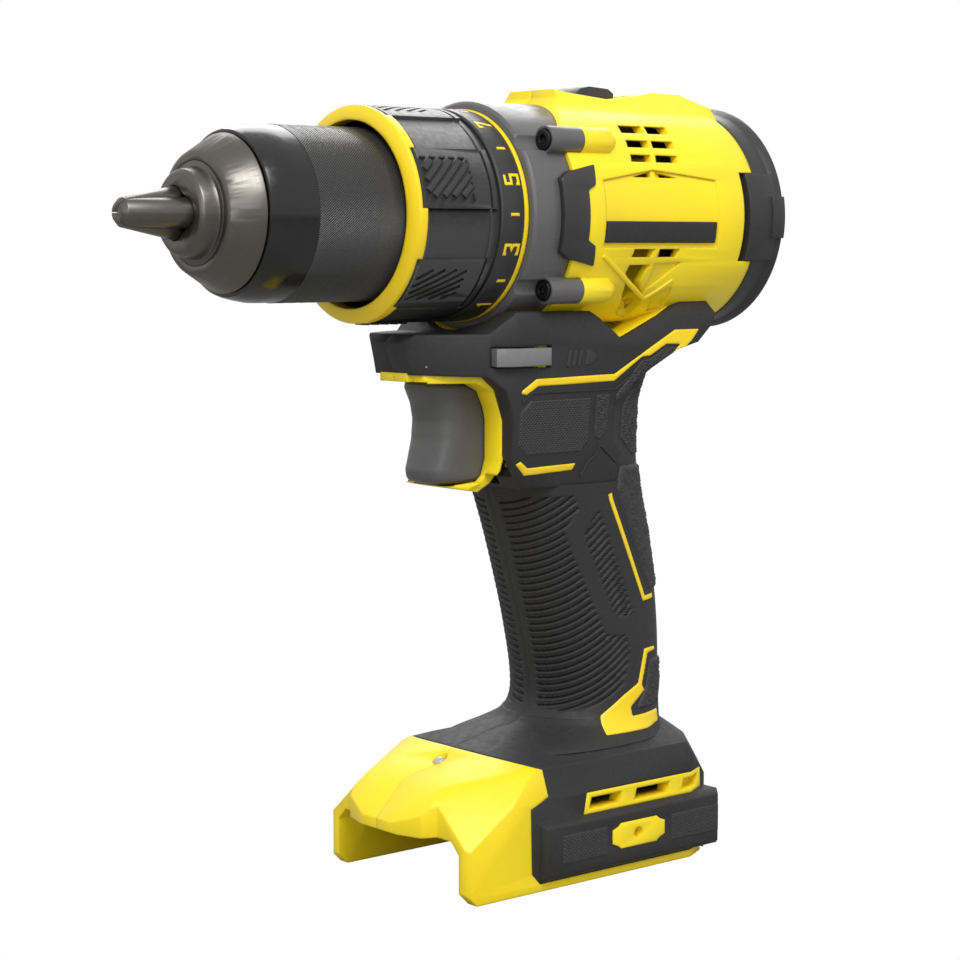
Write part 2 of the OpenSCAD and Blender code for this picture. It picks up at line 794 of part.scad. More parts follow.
module collar_front_ring() {
    tab_x = collar_x + 3.8;
    color(YELLOW) placed() difference() {
        turned([
            [collar_x, mouth_r], [collar_x, collar_r - 2.6], [collar_x + 1.2, collar_r],
            [tab_x, collar_r], [tab_x, mouth_r]
        ]);
        for (k = [0 : collar_panels - 1]) rotate([-panel_turn - 360 * k / collar_panels, 0, 0])
            intersection() {
                tube(collar_x + 2.2, tab_x + 1, collar_r + 1, collar_r - collar_low - 1.5);
                along(collar_x, tab_x + 2) polygon([
                    [0, 0],
                    60 * [-cos(panel_half / 2 + 3), sin(panel_half / 2 + 3)],
                    60 * [-cos(panel_half / 2 + 3), -sin(panel_half / 2 + 3)]
                ]);
            }
    }
}

module number_ring() {
    color(BLACK) placed() turned([
        [number_x, ring_bore_r], [number_x, number_r - 0.4], [number_x + 0.4, number_r],
        [index_x, number_r], [index_x, ring_bore_r]
    ]);
}

module index_ring() {
    color(YELLOW) placed() turned([
        [index_x, ring_bore_r], [index_x, number_r], [index_x + 0.3, number_r + 0.3],
        [case_x - 0.2, number_r + 0.3], [case_x - 0.2, ring_bore_r]
    ]);
}

// ---- motor ---------------------------------------------------------------

module motor_can() {
    cap_r = 6;
    color(STEEL) placed() difference() {
        union() {
            bar(motor_x, motor_end_x, motor_r);
            bar(motor_x - 1.2, motor_x + 1, cap_r);
        }
        bar(motor_x + 1.2, motor_end_x + 1, motor_r - 1.4);
        bar(motor_x - 2, motor_x + 2, bearing_seat_r);
        // air windows over the fan
        for (k = [0 : 5]) rotate([60 * k, 0, 0])
            block([motor_x + 4, -4.5, motor_r - 3], [motor_x + 12, 4.5, motor_r + 1]);
    }
}

module motor_magnets() {
    color(DARK_STEEL) placed() intersection() {
        tube(motor_x + 14, motor_end_x - 6, motor_r - 1.4, motor_r - 4.6);
        union() for (s = [0, 180]) rotate([s, 0, 0])
            along(motor_x, motor_end_x) polygon([[0, 0], [-40, 24], [-40, 60], [40, 60], [40, 24]]);
    }
}

module motor_rotor() {
    core_r = motor_r - 5.1;
    color([0.55, 0.36, 0.22]) placed() union() {
        bar(stage1_x + planet_width + 0.4, motor_end_x + 4, shaft_r);
        difference() {
            bar(motor_x + 15.5, motor_end_x - 8, core_r);
            for (k = [0 : 11]) rotate([30 * k, 0, 0])
                block([motor_x + 14, -0.7, core_r - 5], [motor_end_x - 7, 0.7, core_r + 1]);
        }
        bar(motor_x + 13.5, motor_x + 16, core_r - 2.4);
        bar(motor_end_x - 8.5, motor_end_x - 6, core_r - 2.4);
        bar(motor_end_x - 6.5, motor_end_x - 0.6, 5);
        spur(stage1_x, planet_width + 0.8, sun_teeth);
    }
}

module motor_fan() {
    fan_r = motor_r - 2.4;
    color([0.2, 0.2, 0.2]) placed() difference() {
        union() {
            bar(motor_x + 3, motor_x + 12.6, shaft_r + 2);
            bar(motor_x + 11.4, motor_x + 12.6, fan_r);
            for (k = [0 : 11]) rotate([30 * k, 0, 0])
                block([motor_x + 4, -0.6, 0], [motor_x + 12, 0.6, fan_r]);
        }
        bar(motor_x, motor_x + 14, shaft_r);
    }
}

module motor_bearings() {
    color(STEEL) placed() union() {
        bearing(motor_x - 1, 3.6, bearing_seat_r, shaft_r + 0.02);
        bearing(motor_end_x + 0.4, 3.2, bearing_seat_r, shaft_r + 0.02);
    }
}

// The plastic end cap that carries the rear bearing and both brushes
module brush_card() {
    color([0.25, 0.2, 0.18]) placed() union() {
        difference() {
            union() {
                bar(motor_end_x, motor_end_x + 2.4, motor_r);
                bar(motor_end_x + 1, motor_end_x + 4.6, bearing_seat_r + 2);
            }
            bar(motor_end_x - 1, motor_end_x + 1, bearing_seat_r + 2);
            bar(motor_end_x + 0.4, motor_end_x + 3.6, bearing_seat_r);
            bar(motor_end_x + 3, motor_end_x + 6, shaft_r + 0.5);
        }
        for (s = [0, 180]) rotate([s, 0, 0]) block(
            [motor_end_x - 5.4, -2.5, 5 + running_gap],
            [motor_end_x + 0.5, 2.5, motor_r - 4]
        );
    }
}

// ---- housing -------------------------------------------------------------

// Rear edge line of the motor housing with its side notch
module housing_region() {
    notch = 11.8;
    polygon([
        [flange_x - 20, -60], [housing_x, -60], [housing_x, -notch], [housing_x - 6, -notch],
        [housing_x - 6, notch], [housing_x, notch], [housing_x, 60], [flange_x - 20, 60]
    ]);
}

// The round motor housing with its two humps and the fairings behind the screws
module motor_form() {
    union() {
        turned([
            [case_x + 1, 0], [case_x + 1, housing_r],
            [housing_x - 4, housing_r], [housing_x, housing_r - 0.8], [housing_x, 0]
        ]);
        intersection() {
            across(34) polygon([
                [case_x + 8, 20], [case_x + 8, hump_h - 2.4], [case_x + 13, hump_h],
                [case_x + 22, hump_h - 0.1], [case_x + 28, hump_h - 1.2],
                [case_x + 42, hump_h - 2.6], [case_x + 53, hump_h - 1.2],
                [case_x + 60, hump_h], [case_x + 70, hump_h - 0.2],
                [case_x + 74.4, hump_h - 2], [housing_x, hump_h - 3.6], [housing_x, 20]
            ]);
            along(case_x, housing_x + 1) polygon([
                [-17, 22], [-7.5, hump_h + 1], [7.5, hump_h + 1], [17, 22]
            ]);
            bar(case_x, housing_x + 1, hump_h + 1.2);
        }
        for (y = [-screw_y, screw_y], z = [-screw_z, screw_z]) translate([0, y, z]) turned([
            [flange_x, 0], [flange_x, boss_r], [fairing_x - 3, boss_r],
            [fairing_x, boss_r - 2], [fairing_x, 0]
        ]);
        boss_webs(flange_x, fairing_x - 3);
    }
}

// Outline of the shoulder above the trigger, seen from the side, drawn in at its top
module shoulder_outline(inset) {
    polygon([
        [beak_x + inset, -32 - inset], [beak_x + 3.2 + inset, -40 + inset],
        [-16.5, -40.6 + inset], [-12.2 + inset, -44], [-9.4 + inset, -52], [-9.4 + inset, -61],
        [-4 + inset, -70], [26 - inset, -70], [28.8 - inset, -62], [25 - inset, -57],
        [25 - inset, -49], [31 - inset, -44], [38 - inset, -39.8],
        [housing_x - 22.3, -35.2], [housing_x - 14.7, -33.4], [housing_x - 9.3, -28.6],
        [housing_x - 8.2, -25.5], [housing_x - 10.4, -22.3], [housing_x - 18, -21.6],
        [26.5, -31.9], [15.8, -24.4],
        [-9, -24.2 - inset], [-16.2, -29.8 - inset], [beak_x + 2.6 + inset, -29.8 - inset]
    ]);
}

// The shoulder's form: full width at the handle, narrowing to a beak over the trigger
module shoulder_form(inset) {
    side = shoulder_y - inset;
    intersection() {
        across(2 * side) shoulder_outline(inset);
        along(-60, 80) polygon([
            [-side + 4, -18], [-side, -26], [-side, -36], [-side + 2.6, -61], [-side + 6.4, -74],
            [side - 6.4, -74], [side - 2.6, -61], [side, -36], [side, -26], [side - 4, -18]
        ]);
        beak_plan(inset);
    }
}

// The shoulder seen from above, drawn in by an inset
module beak_plan(inset) {
    side = shoulder_y - inset;
    translate([0, 0, -80]) linear_extrude(height = 80) polygon([
        [beak_x + inset, -5.4], [beak_x + 1.8 + inset, -8.6 + inset], [-29.4, -12 + inset],
        [-23, -16 + inset], [-9, -side], [80, -side], [80, side], [-9, side],
        [-23, 16 - inset], [-29.4, 12 - inset], [beak_x + 1.8 + inset, 8.6 - inset],
        [beak_x + inset, 5.4]
    ]);
}

// The bright frame that runs round the trigger
module trigger_frame() {
    intersection() {
        across(2 * frame_y) polygon([
            [beak_x - 1, -39.6], [beak_x - 1, trigger_top], [-17.5, trigger_top], [-12.7, -44.6],
            [-10.7, -48.6], [-9.9, -52], [-9.9, -62], [-11.2, -66.2], [-13, -67.8],
            [-22.5, trigger_bottom - 0.2], [-12.2, trigger_bottom - 2.3],
            [-8, trigger_bottom - 1.4], [-5.5, -66], [-5, -60], [-5, -44], [-12, -39.6]
        ]);
        beak_plan(3);
    }
}

// Outline of the battery foot, seen from the side, drawn in at its top
module foot_outline(inset) {
    polygon([
        [visor_x, -156.4], [visor_x, -153.7], [-29.4, -144.8], [-19.8, -142.8],
        [-13.4, -138.9 - inset], [2, -135.4 - inset], [50, -135 - inset], [54.5 - inset, -139.5],
        [58.4 - inset, -145], [foot_rear - 0.8 - inset, -153], [foot_rear - inset, -157],
        [foot_rear - inset, base_z], [-foot_front + 3, base_z], [-foot_front, base_z + 3],
        [-foot_front, -158.6]
    ]);
}

// The foot's outer form, drawn in at its sides, top and rear by an inset
module foot_form(inset) {
    side = half_foot - inset;
    rear = foot_rear - inset;
    corner = 15;
    difference() {
        intersection() {
            across(2 * side) foot_outline(inset);
            along(-60, 80) polygon([
                [-side, base_z], [-side, -149], [-side + 2.2, -141.2 - inset],
                [-12, -136.6 - inset], [-6, -134.8], [6, -134.8], [12, -136.6 - inset],
                [side - 2.2, -141.2 - inset], [side, -149], [side, base_z]
            ]);
            translate([0, 0, base_z]) linear_extrude(height = 60) polygon([
                [visor_x, -6], [visor_x + 2.8, -visor_y], [-foot_front, -visor_y - 2],
                [-foot_front, -side + 1.2], [-foot_front + 0.8, -side], [rear - corner, -side],
                [rear - 5, -side + 5], [rear, -side + corner], [rear, side - corner],
                [rear - 5, side - 5], [rear - corner, side], [-foot_front + 0.8, side],
                [-foot_front, side - 1.2], [-foot_front, visor_y + 2],
                [visor_x + 2.8, visor_y], [visor_x, 6]
            ]);
        }
        // slopes that cut the corners, over the front walls and at the rear
        mirrored() {
            slope([-foot_front, -half_foot, -158.9], 47.6, -127.7, inset);
            slope([-13.4, -13, -138.9], 26.1, -136.4, inset);
            slope([57.4, -20, -147.9], 62, -40, inset);
            slope([47.3, -20, -138.6], 33, -40, inset);
        }
    }
}

// All that lies above a slope through a point, tilted and turned, and lowered by an inset
module slope(point, tilt, heading, inset) {
    reach = 80;
    translate(point) rotate([0, tilt, heading]) translate([-reach, -reach, -inset])
        cube([2 * reach, 2 * reach, reach]);
}

// The space the battery slides into, between its two rails
module battery_channel() {
    half_channel = channel_w / 2;
    rear_wall = foot_rear - 5;
    difference() {
        along(-60, rear_wall) polygon([
            [-half_channel, base_z - 1], [-half_channel, channel_top - 3],
            [-half_channel + 3, channel_top], [half_channel - 3, channel_top],
            [half_channel, channel_top - 3], [half_channel, base_z - 1]
        ]);
        mirrored() block(
            [-foot_front + 9, -half_channel - 1, channel_top - 6.4],
            [rear_wall + 1, -half_channel + rail_w, channel_top - 2]
        );
    }
}

// Zone of the foot that the soft moulding covers, seen from the side
module foot_cover_zone() {
    across(80) difference() {
        polygon([
            [-13.4, -138.6], [-5, -141.3], [-4.6, -148], [-10.7, -150.5], [-10.3, base_z + 5],
            [-7.6, base_z + 2], [80, base_z + 2], [80, -130], [-13.4, -130]
        ]);
        polygon([[7.5, strip_z[0]], [8.6, strip_z[1]], [53, strip_z[1]], [53.6, strip_z[0]]]);
    }
}

// Raised black bumper on the left side of the foot
module bumper_form() {
    edge = 1.2;
    inner_y = -half_foot + 8;
    hull() {
        block(
            [bumper_x[0], -half_foot - 0.4, bumper_z[0]],
            [bumper_x[1], inner_y, bumper_z[1]]
        );
        block(
            [bumper_x[0] + edge, -half_foot - bumper_t, bumper_z[0] + edge],
            [bumper_x[1] - edge, inner_y, bumper_z[1] - edge]
        );
    }
}

// Bright plate that stands through the left bumper and takes an accessory screw
module hook_plate() {
    notch = 2;
    between_y(-half_foot - bumper_t - 0.2, -half_foot + grip_t + 1) polygon([
        [plate_x[0], hook_z - 1.8], [plate_x[0] + notch, hook_z - 2.6],
        [plate_x[0] + notch + 1, hook_z - 3.4], [plate_x[1] - notch - 1, hook_z - 3.4],
        [plate_x[1] - notch, hook_z - 2.6], [plate_x[1], hook_z - 1.8],
        [plate_x[1], hook_z + 1.8], [plate_x[1] - notch, hook_z + 2.6],
        [plate_x[1] - notch - 1, hook_z + 3.4], [plate_x[0] + notch + 1, hook_z + 3.4],
        [plate_x[0] + notch, hook_z + 2.6], [plate_x[0], hook_z + 1.8]
    ]);
}

module vent_openings() {
    outside = -housing_r - 8;
    mirrored() {
        for (v = VENTS) between_y(outside, -15) polygon([
            [v[0] - 0.3, v[2]], [v[1] - 0.3, v[2]], [v[1] + 0.3, v[3]], [v[0] + 0.3, v[3]]
        ]);
        between_y(outside, -12) polygon([[23.8, -12.6], [31, -12.6], [28.4, -18.8], [23.4, -14.8]]);
        between_y(outside, -12) polygon([[29.7, -20.6], [27.6, -21.8], [28.7, -24.8], [31.2, -25.6]]);
        between_y(outside, -15) polygon([[24, 9.9], [31, 9.9], [31, 11.4]]);
        between_y(outside, -15) polygon([[32.6, 9.9], [40.3, 9.9], [32.6, 11.5]]);
    }
}

// Three slots in the strip above each bumper
module strip_openings() {
    mirrored() for (s = [[9.4, 20.4], [25.6, 38], [43, 50.4]])
        between_y(-half_foot - 1, -half_foot + 5) polygon([
            [s[0], -153.4], [s[1], -153.4], [s[1] + 0.6, -150.4], [s[0] + 0.8, -150.4]
        ]);
}

// ---- housing halves and soft grips ---------------------------------------

module housing_screw_holes() {
    for (s = SCREWS) translate([s[0], -screw_head_y, s[1]]) rotate([-90, 0, 0])
        cylinder(h = 60, r = 1.5);
    screw_counterbores();
}

module screw_counterbores() {
    for (s = SCREWS) translate([s[0], screw_head_y, s[1]]) rotate([-90, 0, 0])
        cylinder(h = 60, r = 3);
}

module housing_screws() {
    color(DARK_STEEL) placed() for (s = SCREWS) translate([s[0], 0, s[1]]) rotate([-90, 0, 0])
        difference() {
            union() {
                translate([0, 0, screw_head_y]) cylinder(h = 2.4, r = 2.9);
                translate([0, 0, -screw_head_y]) cylinder(h = 2 * screw_head_y, r = 1.48);
            }
            translate([0, 0, screw_head_y + 1]) cylinder(h = 3, r = 1.3, $fn = 6);
        }
}

// The opening round the gear case, the collar and the motor
module barrel_cavity() {
    bar(collar_x - 20, flange_x, case_r + 0.05);
    intersection() {
        bar(case_x, flange_x + 14, case_r + 0.05);
        across(200) case_region();
    }
    bar(flange_x - 1, housing_x + 1, inner_r);
    difference() {
        tube(housing_x - 7, housing_x + 1, housing_r + 10, inner_r - 1);
        across(200) housing_region();
    }
}

module handle_cavity() {
    intersection() {
        handle_form(grip_t + wall);
        block([-60, -60, -137], [100, 60, -38]);
    }
    block([6, -12, -40], [36, 12, -24]);
    // hollow of the foot, above the floor of the battery channel
    intersection() {
        foot_form(grip_t + wall);
        block([-2, -half_foot, channel_top + floor_t], [foot_rear, half_foot, -132]);
    }
    // way for the wires between the two
    block([14, -11, -141], [46, 11, -134]);
    // opening for the terminals
    block([20, -14, channel_top - 1], [44, 14, channel_top + floor_t + 1]);
    // room for the lamp board
    block([led_x - 4, -5, led_z - 9], [9, 5, led_z - 4]);
}

module trigger_slot() {
    block(
        [-60, -trigger_w / 2 - slot_gap, trigger_bottom - slot_gap],
        [14, trigger_w / 2 + slot_gap, trigger_top + slot_gap]
    );
}

module selector_slot() {
    block(
        [selector_x[0] - 0.6, -selector_w / 2 - 0.3, 20],
        [selector_x[1] + selector_travel + 0.6, selector_w / 2 + 0.3, hump_h + 5]
    );
}

module button_slot() {
    block([button_x[0] - 0.3, -40, button_z[0] - 0.3], [button_x[1] + 0.3, 40, button_z[1] + 0.3]);
}

module led_seat() {
    translate([led_x, 0, led_z - 5]) cylinder(h = 10, r = led_r + 0.05);
}

module hook_hole() {
    translate([hook_x, -half_foot - bumper_t - 1, hook_z]) rotate([-90, 0, 0])
        cylinder(h = bumper_t + 4, r = hook_hole_r);
}

// Ribs that carry the motor
module motor_seats() {
    for (x = [motor_x + 14, motor_end_x - 4]) intersection() {
        tube(x, x + 2, inner_r + 0.6, motor_r + running_gap / 2);
        block([x - 1, -50, -50], [x + 3, 50, 15]);
    }
}

// Bosses that the housing screws pull together
module screw_bosses() {
    intersection() {
        translate([SCREWS[0][0], 0, SCREWS[0][1]]) rotate([90, 0, 0])
            cylinder(h = 24, r = 3.6, center = true);
        motor_form();
    }
    intersection() {
        union() for (s = [SCREWS[3], SCREWS[4], SCREWS[5], SCREWS[6]])
            translate([s[0], 0, s[1]]) rotate([90, 0, 0])
                cylinder(h = 2 * half_foot, r = 3.6, center = true);
        union() {
            handle_form(grip_t + 0.5);
            foot_form(grip_t + 0.5);
        }
    }
}

// Ribs that hold the switch and the lamp board
module switch_seats() {
    body = trigger_w / 2;
    for (x = [switch_x + 4, switch_x + 22]) mirrored() intersection() {
        block([x, body - 0.4, trigger_bottom + 3], [x + 1.6, body + 12, trigger_top - 4]);
        handle_form(grip_t + 0.5);
    }
}

// The yellow housing before it is split into two halves
module housing_solid() {
    difference() {
        union() {
            difference() {
                union() {
                    difference() {
                        motor_form();
                        across(200) case_region();
                    }
                    shoulder_form(grip_t);
                    trigger_frame();
                    handle_form(grip_t);
                    difference() {
                        foot_form(0);
                        foot_cover_zone();
                    }
                    foot_form(grip_t);
                    mirrored() hook_plate();
                }
                barrel_cavity();
                handle_cavity();
                trigger_slot();
                battery_channel();
                vent_openings();
                strip_openings();
                selector_slot();
                button_slot();
                case_bosses(flange_x - 1, boss_end_x, boss_r + 0.05);
                led_seat();
            }
            motor_seats();
            screw_bosses();
            switch_seats();
        }
        case_bosses(boss_end_x - 1, boss_end_x + 9.2, screw_r);
        mirrored() hook_hole();
        housing_screw_holes();
    }
}

module housing_half(side) {
    color(YELLOW) placed() half(side) housing_solid();
}

module left_housing() housing_half(-1);
module right_housing() housing_half(1);

// The soft moulding over shoulder, handle and foot before it is split
module grip_solid() {
    difference() {
        union() {
            shoulder_form(0);
            handle_form(0);
            intersection() {
                foot_form(0);
                foot_cover_zone();
            }
            mirrored() bumper_form();
        }
        shoulder_form(grip_t);
        handle_form(grip_t);
        trigger_frame();
        foot_form(grip_t);
        difference() {
            foot_form(0);
            foot_cover_zone();
        }
        mirrored() hook_plate();
        motor_form();
        barrel_cavity();
        trigger_slot();
        battery_channel();
        button_slot();
        case_bosses(flange_x - 1, boss_end_x, boss_r + 0.05);
        screw_counterbores();
        rear_cap_form();
    }
}

module grip_half(side) {
    color(BLACK) placed() half(side) grip_solid();
}

module left_grip() grip_half(-1);
module right_grip() grip_half(1);

// ---- rear cap and side pads ----------------------------------------------

module rear_cap_form() {
    turned([
        [housing_x + 0.1, 0], [housing_x + 0.1, housing_r - 0.6], [cap_x - 2.4, housing_r - 0.9],
        [cap_x - 0.8, housing_r + 0.1], [cap_x + 0.2, housing_r + 0.2],
        [cap_x + 0.5 * cap_dome, housing_r - 0.7], [cap_x + 0.85 * cap_dome, housing_r - 1.9],
        [rear_x, housing_r - 4.4], [rear_x, 0]
    ]);
    // cheek panels that fill the notches of the housing
    intersection() {
        tube(housing_x - 3.6, cap_x - 1.6, housing_r, inner_r - wall);
        block([housing_x - 4, -50, -cap_panel_z], [cap_x, 50, cap_panel_z]);
    }
}

module rear_cap() {
    spigot_r = inner_r - 0.05;
    color(BLACK) placed() difference() {
        union() {
            rear_cap_form();
            tube(housing_x - 5.6, housing_x + 1, spigot_r, spigot_r - wall);
            intersection() {
                bar(cap_x - 4.2, cap_x + 0.4, housing_r + 0.9);
                mirrored() block([cap_x - 5, -50, -5.6], [cap_x + 1, -20, 5.6]);
            }
        }
        turned([
            [housing_x - 8, 0], [housing_x - 8, spigot_r - wall], [housing_x, spigot_r - wall],
            [cap_x - 1.6, housing_r - 3.6], [rear_x - wall, housing_r - 7], [rear_x - wall, 0]
        ]);
        // air slots in the rear face
        for (k = [-3 : 3]) block([cap_x - 3, -13, 4 * k - 0.8], [rear_x + 1, 13, 4 * k + 0.8]);
    }
}

module side_pad() {
    color(BLACK) placed() intersection() {
        turned([
            [case_x + 6, case_r], [case_x + 6, pad_r], [flange_x + 9, pad_r],
            [flange_x + 9, housing_r], [flange_x, housing_r], [flange_x, case_r]
        ]);
        between_y(-pad_r - 1, -10) polygon([
            [-1.5, -9.2], [1.2, -10.9], [10.8, -12.9], [9.9, -7.7], [7.2, -6.3],
            [7.2, 6.3], [9.9, 7.7], [10.8, 12.9], [1.2, 10.9], [-1.5, 9.2]
        ]);
    }
}

module left_side_pad() side_pad();
module right_side_pad() mirror([0, 1, 0]) side_pad();

// ---- controls ------------------------------------------------------------

module speed_selector() {
    plate_t = 1.4;
    top = hump_h + 1;
    color(BLACK) placed() difference() {
        union() {
            block(
                [wire_x - shift_travel - 2.4, -3.6, selector_z],
                [selector_x[0], 3.6, selector_z + plate_t]
            );
            block(
                [selector_x[0] - 1, -5.2, selector_z],
                [selector_x[1] + 1.6, 5.2, selector_z + plate_t]
            );
            across(selector_w) polygon([
                [selector_x[0], selector_z + 1], [selector_x[0], top - 2.2], [selector_x[0] + 2, top - 0.6],
                [selector_x[0] + 5, top], [selector_x[1] - 2, top - 0.4], [selector_x[1], top - 1.6],
                [selector_x[1], selector_z + 1]
            ]);
        }
        block(
            [wire_x - shift_travel - 1, -1, selector_z - 1],
            [wire_x + 1, 1, selector_z + plate_t + 1]
        );
    }
}

module direction_button() {
    end_y = shoulder_y + button_travel - 0.9;
    color(TRIGGER_GREY) placed() union() {
        block([button_x[0], -end_y + 1.2, button_z[0]], [button_x[1], end_y - 1.2, button_z[1]]);
        for (s = [-1, 1]) block(
            [button_x[0] + 1, min(s * end_y, s * (end_y - 2)), button_z[0] + 0.9],
            [button_x[1] - 1, max(s * end_y, s * (end_y - 2)), button_z[1] - 0.9]
        );
    }
}

module trigger() {
    half_w = trigger_w / 2;
    color(TRIGGER_GREY) placed() union() {
        intersection() {
            across(trigger_w) polygon([
                [trigger_nose, trigger_top - 0.8], [trigger_nose + 1, trigger_top],
                [trigger_rear, trigger_top], [trigger_rear, trigger_bottom],
                [trigger_nose + 5, trigger_bottom], [trigger_nose + 2.2, trigger_bottom + 1.2],
                [trigger_nose + 1.4, trigger_bottom + 3], [trigger_nose + 2.4, -62],
                [trigger_nose + 3.8, -57], [trigger_nose + 4.4, -52], [trigger_nose + 3.8, -48],
                [trigger_nose + 2, -45]
            ]);
            translate([0, 0, -80]) linear_extrude(height = 60) polygon([
                [trigger_rear, -half_w], [trigger_nose + 8, -half_w], [trigger_nose + 4, -half_w + 1],
                [trigger_nose + 1.2, -half_w + 3], [trigger_nose, -half_w + 5.6],
                [trigger_nose, half_w - 5.6], [trigger_nose + 1.2, half_w - 3],
                [trigger_nose + 4, half_w - 1], [trigger_nose + 8, half_w], [trigger_rear, half_w]
            ]);
        }
        translate([0, 0, switch_z]) bar(trigger_rear - 1, switch_x + 3, rod_r);
    }
}

module trigger_spring() {
    color(STEEL) placed() translate([0, 0, switch_z])
        coil(trigger_rear + 0.05, switch_x + 5.95, rod_r + 1.2, 0.5, 6);
}

module switch_module() {
    body = trigger_w / 2 - 0.4;
    color([0.12, 0.12, 0.13]) placed() difference() {
        union() {
            block([switch_x, -body, trigger_bottom + 1.5], [switch_x + 27, body, trigger_top - 2]);
            block(
                [switch_x + 8, -body + 1, trigger_bottom - 6],
                [switch_x + 25, body - 1, trigger_bottom + 2]
            );
        }
        translate([0, 0, switch_z]) {
            bar(switch_x - 1, switch_x + 6, rod_r + 2);
            bar(switch_x, switch_x + 3 + trigger_travel + 1, rod_r + running_gap);
        }
    }
}

// ---- lamp, terminals and wires -------------------------------------------

module led_lens() {
    color([0.8, 0.8, 0.82]) placed() translate([led_x, 0, led_z]) union() {
        translate([0, 0, -4]) cylinder(h = 4.2, r = led_r);
        intersection() {
            sphere(r = led_r);
            translate([-3, -3, 0]) cube(6);
        }
    }
}

module led_board() {
    color([0.1, 0.3, 0.15]) placed()
        block([led_x - 3, -4.4, led_z - 5.4], [led_x + 9, 4.4, led_z - 4]);
}

module terminal_block() {
    blade_t = 0.8;
    floor_z = channel_top + floor_t;
    color([0.14, 0.14, 0.15]) placed() union() {
        block([12, -18, floor_z], [52, 18, floor_z + 5]);
        block([16, -10.6, floor_z + 4], [44, 10.6, terminal_top]);
        block([20.3, -13.7, channel_top - 0.4], [43.7, 13.7, floor_z + 1]);
        for (y = [-12, -4, 4, 12])
            block([22, y - blade_t / 2, channel_top - 6.4], [42, y + blade_t / 2, channel_top]);
    }
}

// Wires down the handle from the switch to the terminals
module power_wires() {
    wire_r = 1.2;
    top = trigger_bottom - 6.05;
    low = terminal_top + 0.05;
    steps = 10;
    sides = 10;
    color([0.7, 0.1, 0.08]) placed() for (y = [-3.4, 0, 3.4]) skin([
        for (k = [0 : steps])
            let (t = k / steps, ease = t * t * (3 - 2 * t))
            [
                for (i = [0 : sides - 1])
                    let (a = 360 * i / sides)
                    [28 - 14 * ease + wire_r * cos(a), y + wire_r * sin(a), low + (top - low) * t]
            ]
    ]);
}

// ---- assembly ------------------------------------------------------------

module jaw_1() jaw(0);
module jaw_2() jaw(1);
module jaw_3() jaw(2);
module planet_3a() planet(0, stage3_x);
module planet_3b() planet(1, stage3_x);
module planet_3c() planet(2, stage3_x);
module planet_2a() planet(0, stage2_x);
module planet_2b() planet(1, stage2_x);
module planet_2c() planet(2, stage2_x);
module planet_1a() planet(0, stage1_x);
module planet_1b() planet(1, stage1_x);
module planet_1c() planet(2, stage1_x);

left_housing();
right_housing();
left_grip();
right_grip();
rear_cap();
left_side_pad();
right_side_pad();
gear_case();
case_screws();
housing_screws();
torque_collar();
collar_front_ring();
number_ring();
index_ring();
clutch_nut();
clutch_spring();
clutch_washer();
clutch_pins();
chuck_body();
chuck_front_ring();
chuck_sleeve();
chuck_nut();
jaw_1();
jaw_2();
jaw_3();
chuck_screw();
output_spindle();
front_bearing();
rear_bush();
ring_gear_3();
ring_gear_2();
ring_gear_1();
carrier_2();
carrier_1();
planet_3a();
planet_3b();
planet_3c();
planet_2a();
planet_2b();
planet_2c();
planet_1a();
planet_1b();
planet_1c();
shift_wire();
speed_selector();
motor_can();
motor_magnets();
motor_rotor();
motor_fan();
motor_bearings();
brush_card();
trigger();
trigger_spring();
switch_module();
direction_button();
led_lens();
led_board();
terminal_block();
power_wires();
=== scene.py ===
"""Finishes the cordless drill: surfaces, mouldings, markings, materials, camera and light."""

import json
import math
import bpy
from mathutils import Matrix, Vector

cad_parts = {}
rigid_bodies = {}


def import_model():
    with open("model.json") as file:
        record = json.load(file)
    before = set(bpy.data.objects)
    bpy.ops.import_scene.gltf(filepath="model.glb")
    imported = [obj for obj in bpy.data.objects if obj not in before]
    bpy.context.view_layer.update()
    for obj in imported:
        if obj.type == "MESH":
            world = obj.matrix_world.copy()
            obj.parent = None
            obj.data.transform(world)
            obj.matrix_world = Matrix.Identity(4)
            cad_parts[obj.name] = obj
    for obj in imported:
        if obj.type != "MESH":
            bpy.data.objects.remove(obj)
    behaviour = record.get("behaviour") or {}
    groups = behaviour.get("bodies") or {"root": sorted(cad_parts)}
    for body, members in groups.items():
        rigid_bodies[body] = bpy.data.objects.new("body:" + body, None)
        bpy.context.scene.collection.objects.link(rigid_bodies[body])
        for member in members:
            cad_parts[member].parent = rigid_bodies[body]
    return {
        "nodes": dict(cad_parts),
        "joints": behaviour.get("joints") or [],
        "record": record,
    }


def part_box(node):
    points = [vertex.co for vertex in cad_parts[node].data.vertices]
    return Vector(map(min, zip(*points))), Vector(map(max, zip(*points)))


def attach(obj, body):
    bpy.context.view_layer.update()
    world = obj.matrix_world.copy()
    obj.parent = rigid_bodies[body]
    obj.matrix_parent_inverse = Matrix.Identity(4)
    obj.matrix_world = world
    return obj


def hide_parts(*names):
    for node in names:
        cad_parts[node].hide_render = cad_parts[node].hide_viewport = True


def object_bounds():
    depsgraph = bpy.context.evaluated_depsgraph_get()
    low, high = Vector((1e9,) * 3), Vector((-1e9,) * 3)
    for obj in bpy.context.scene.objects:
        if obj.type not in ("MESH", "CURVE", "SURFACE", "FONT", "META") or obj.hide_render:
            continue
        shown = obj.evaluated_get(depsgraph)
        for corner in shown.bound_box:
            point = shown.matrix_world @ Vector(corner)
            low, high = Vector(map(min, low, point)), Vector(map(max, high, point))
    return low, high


bl_info = {
    "name": "Cordless drill finish",
    "version": (1, 0, 0),
    "blender": (4, 5, 0),
    "location": "View3D > Sidebar > Drill",
    "description": "Dresses the packed cordless drill with detailed mouldings and materials",
    "category": "Object",
}

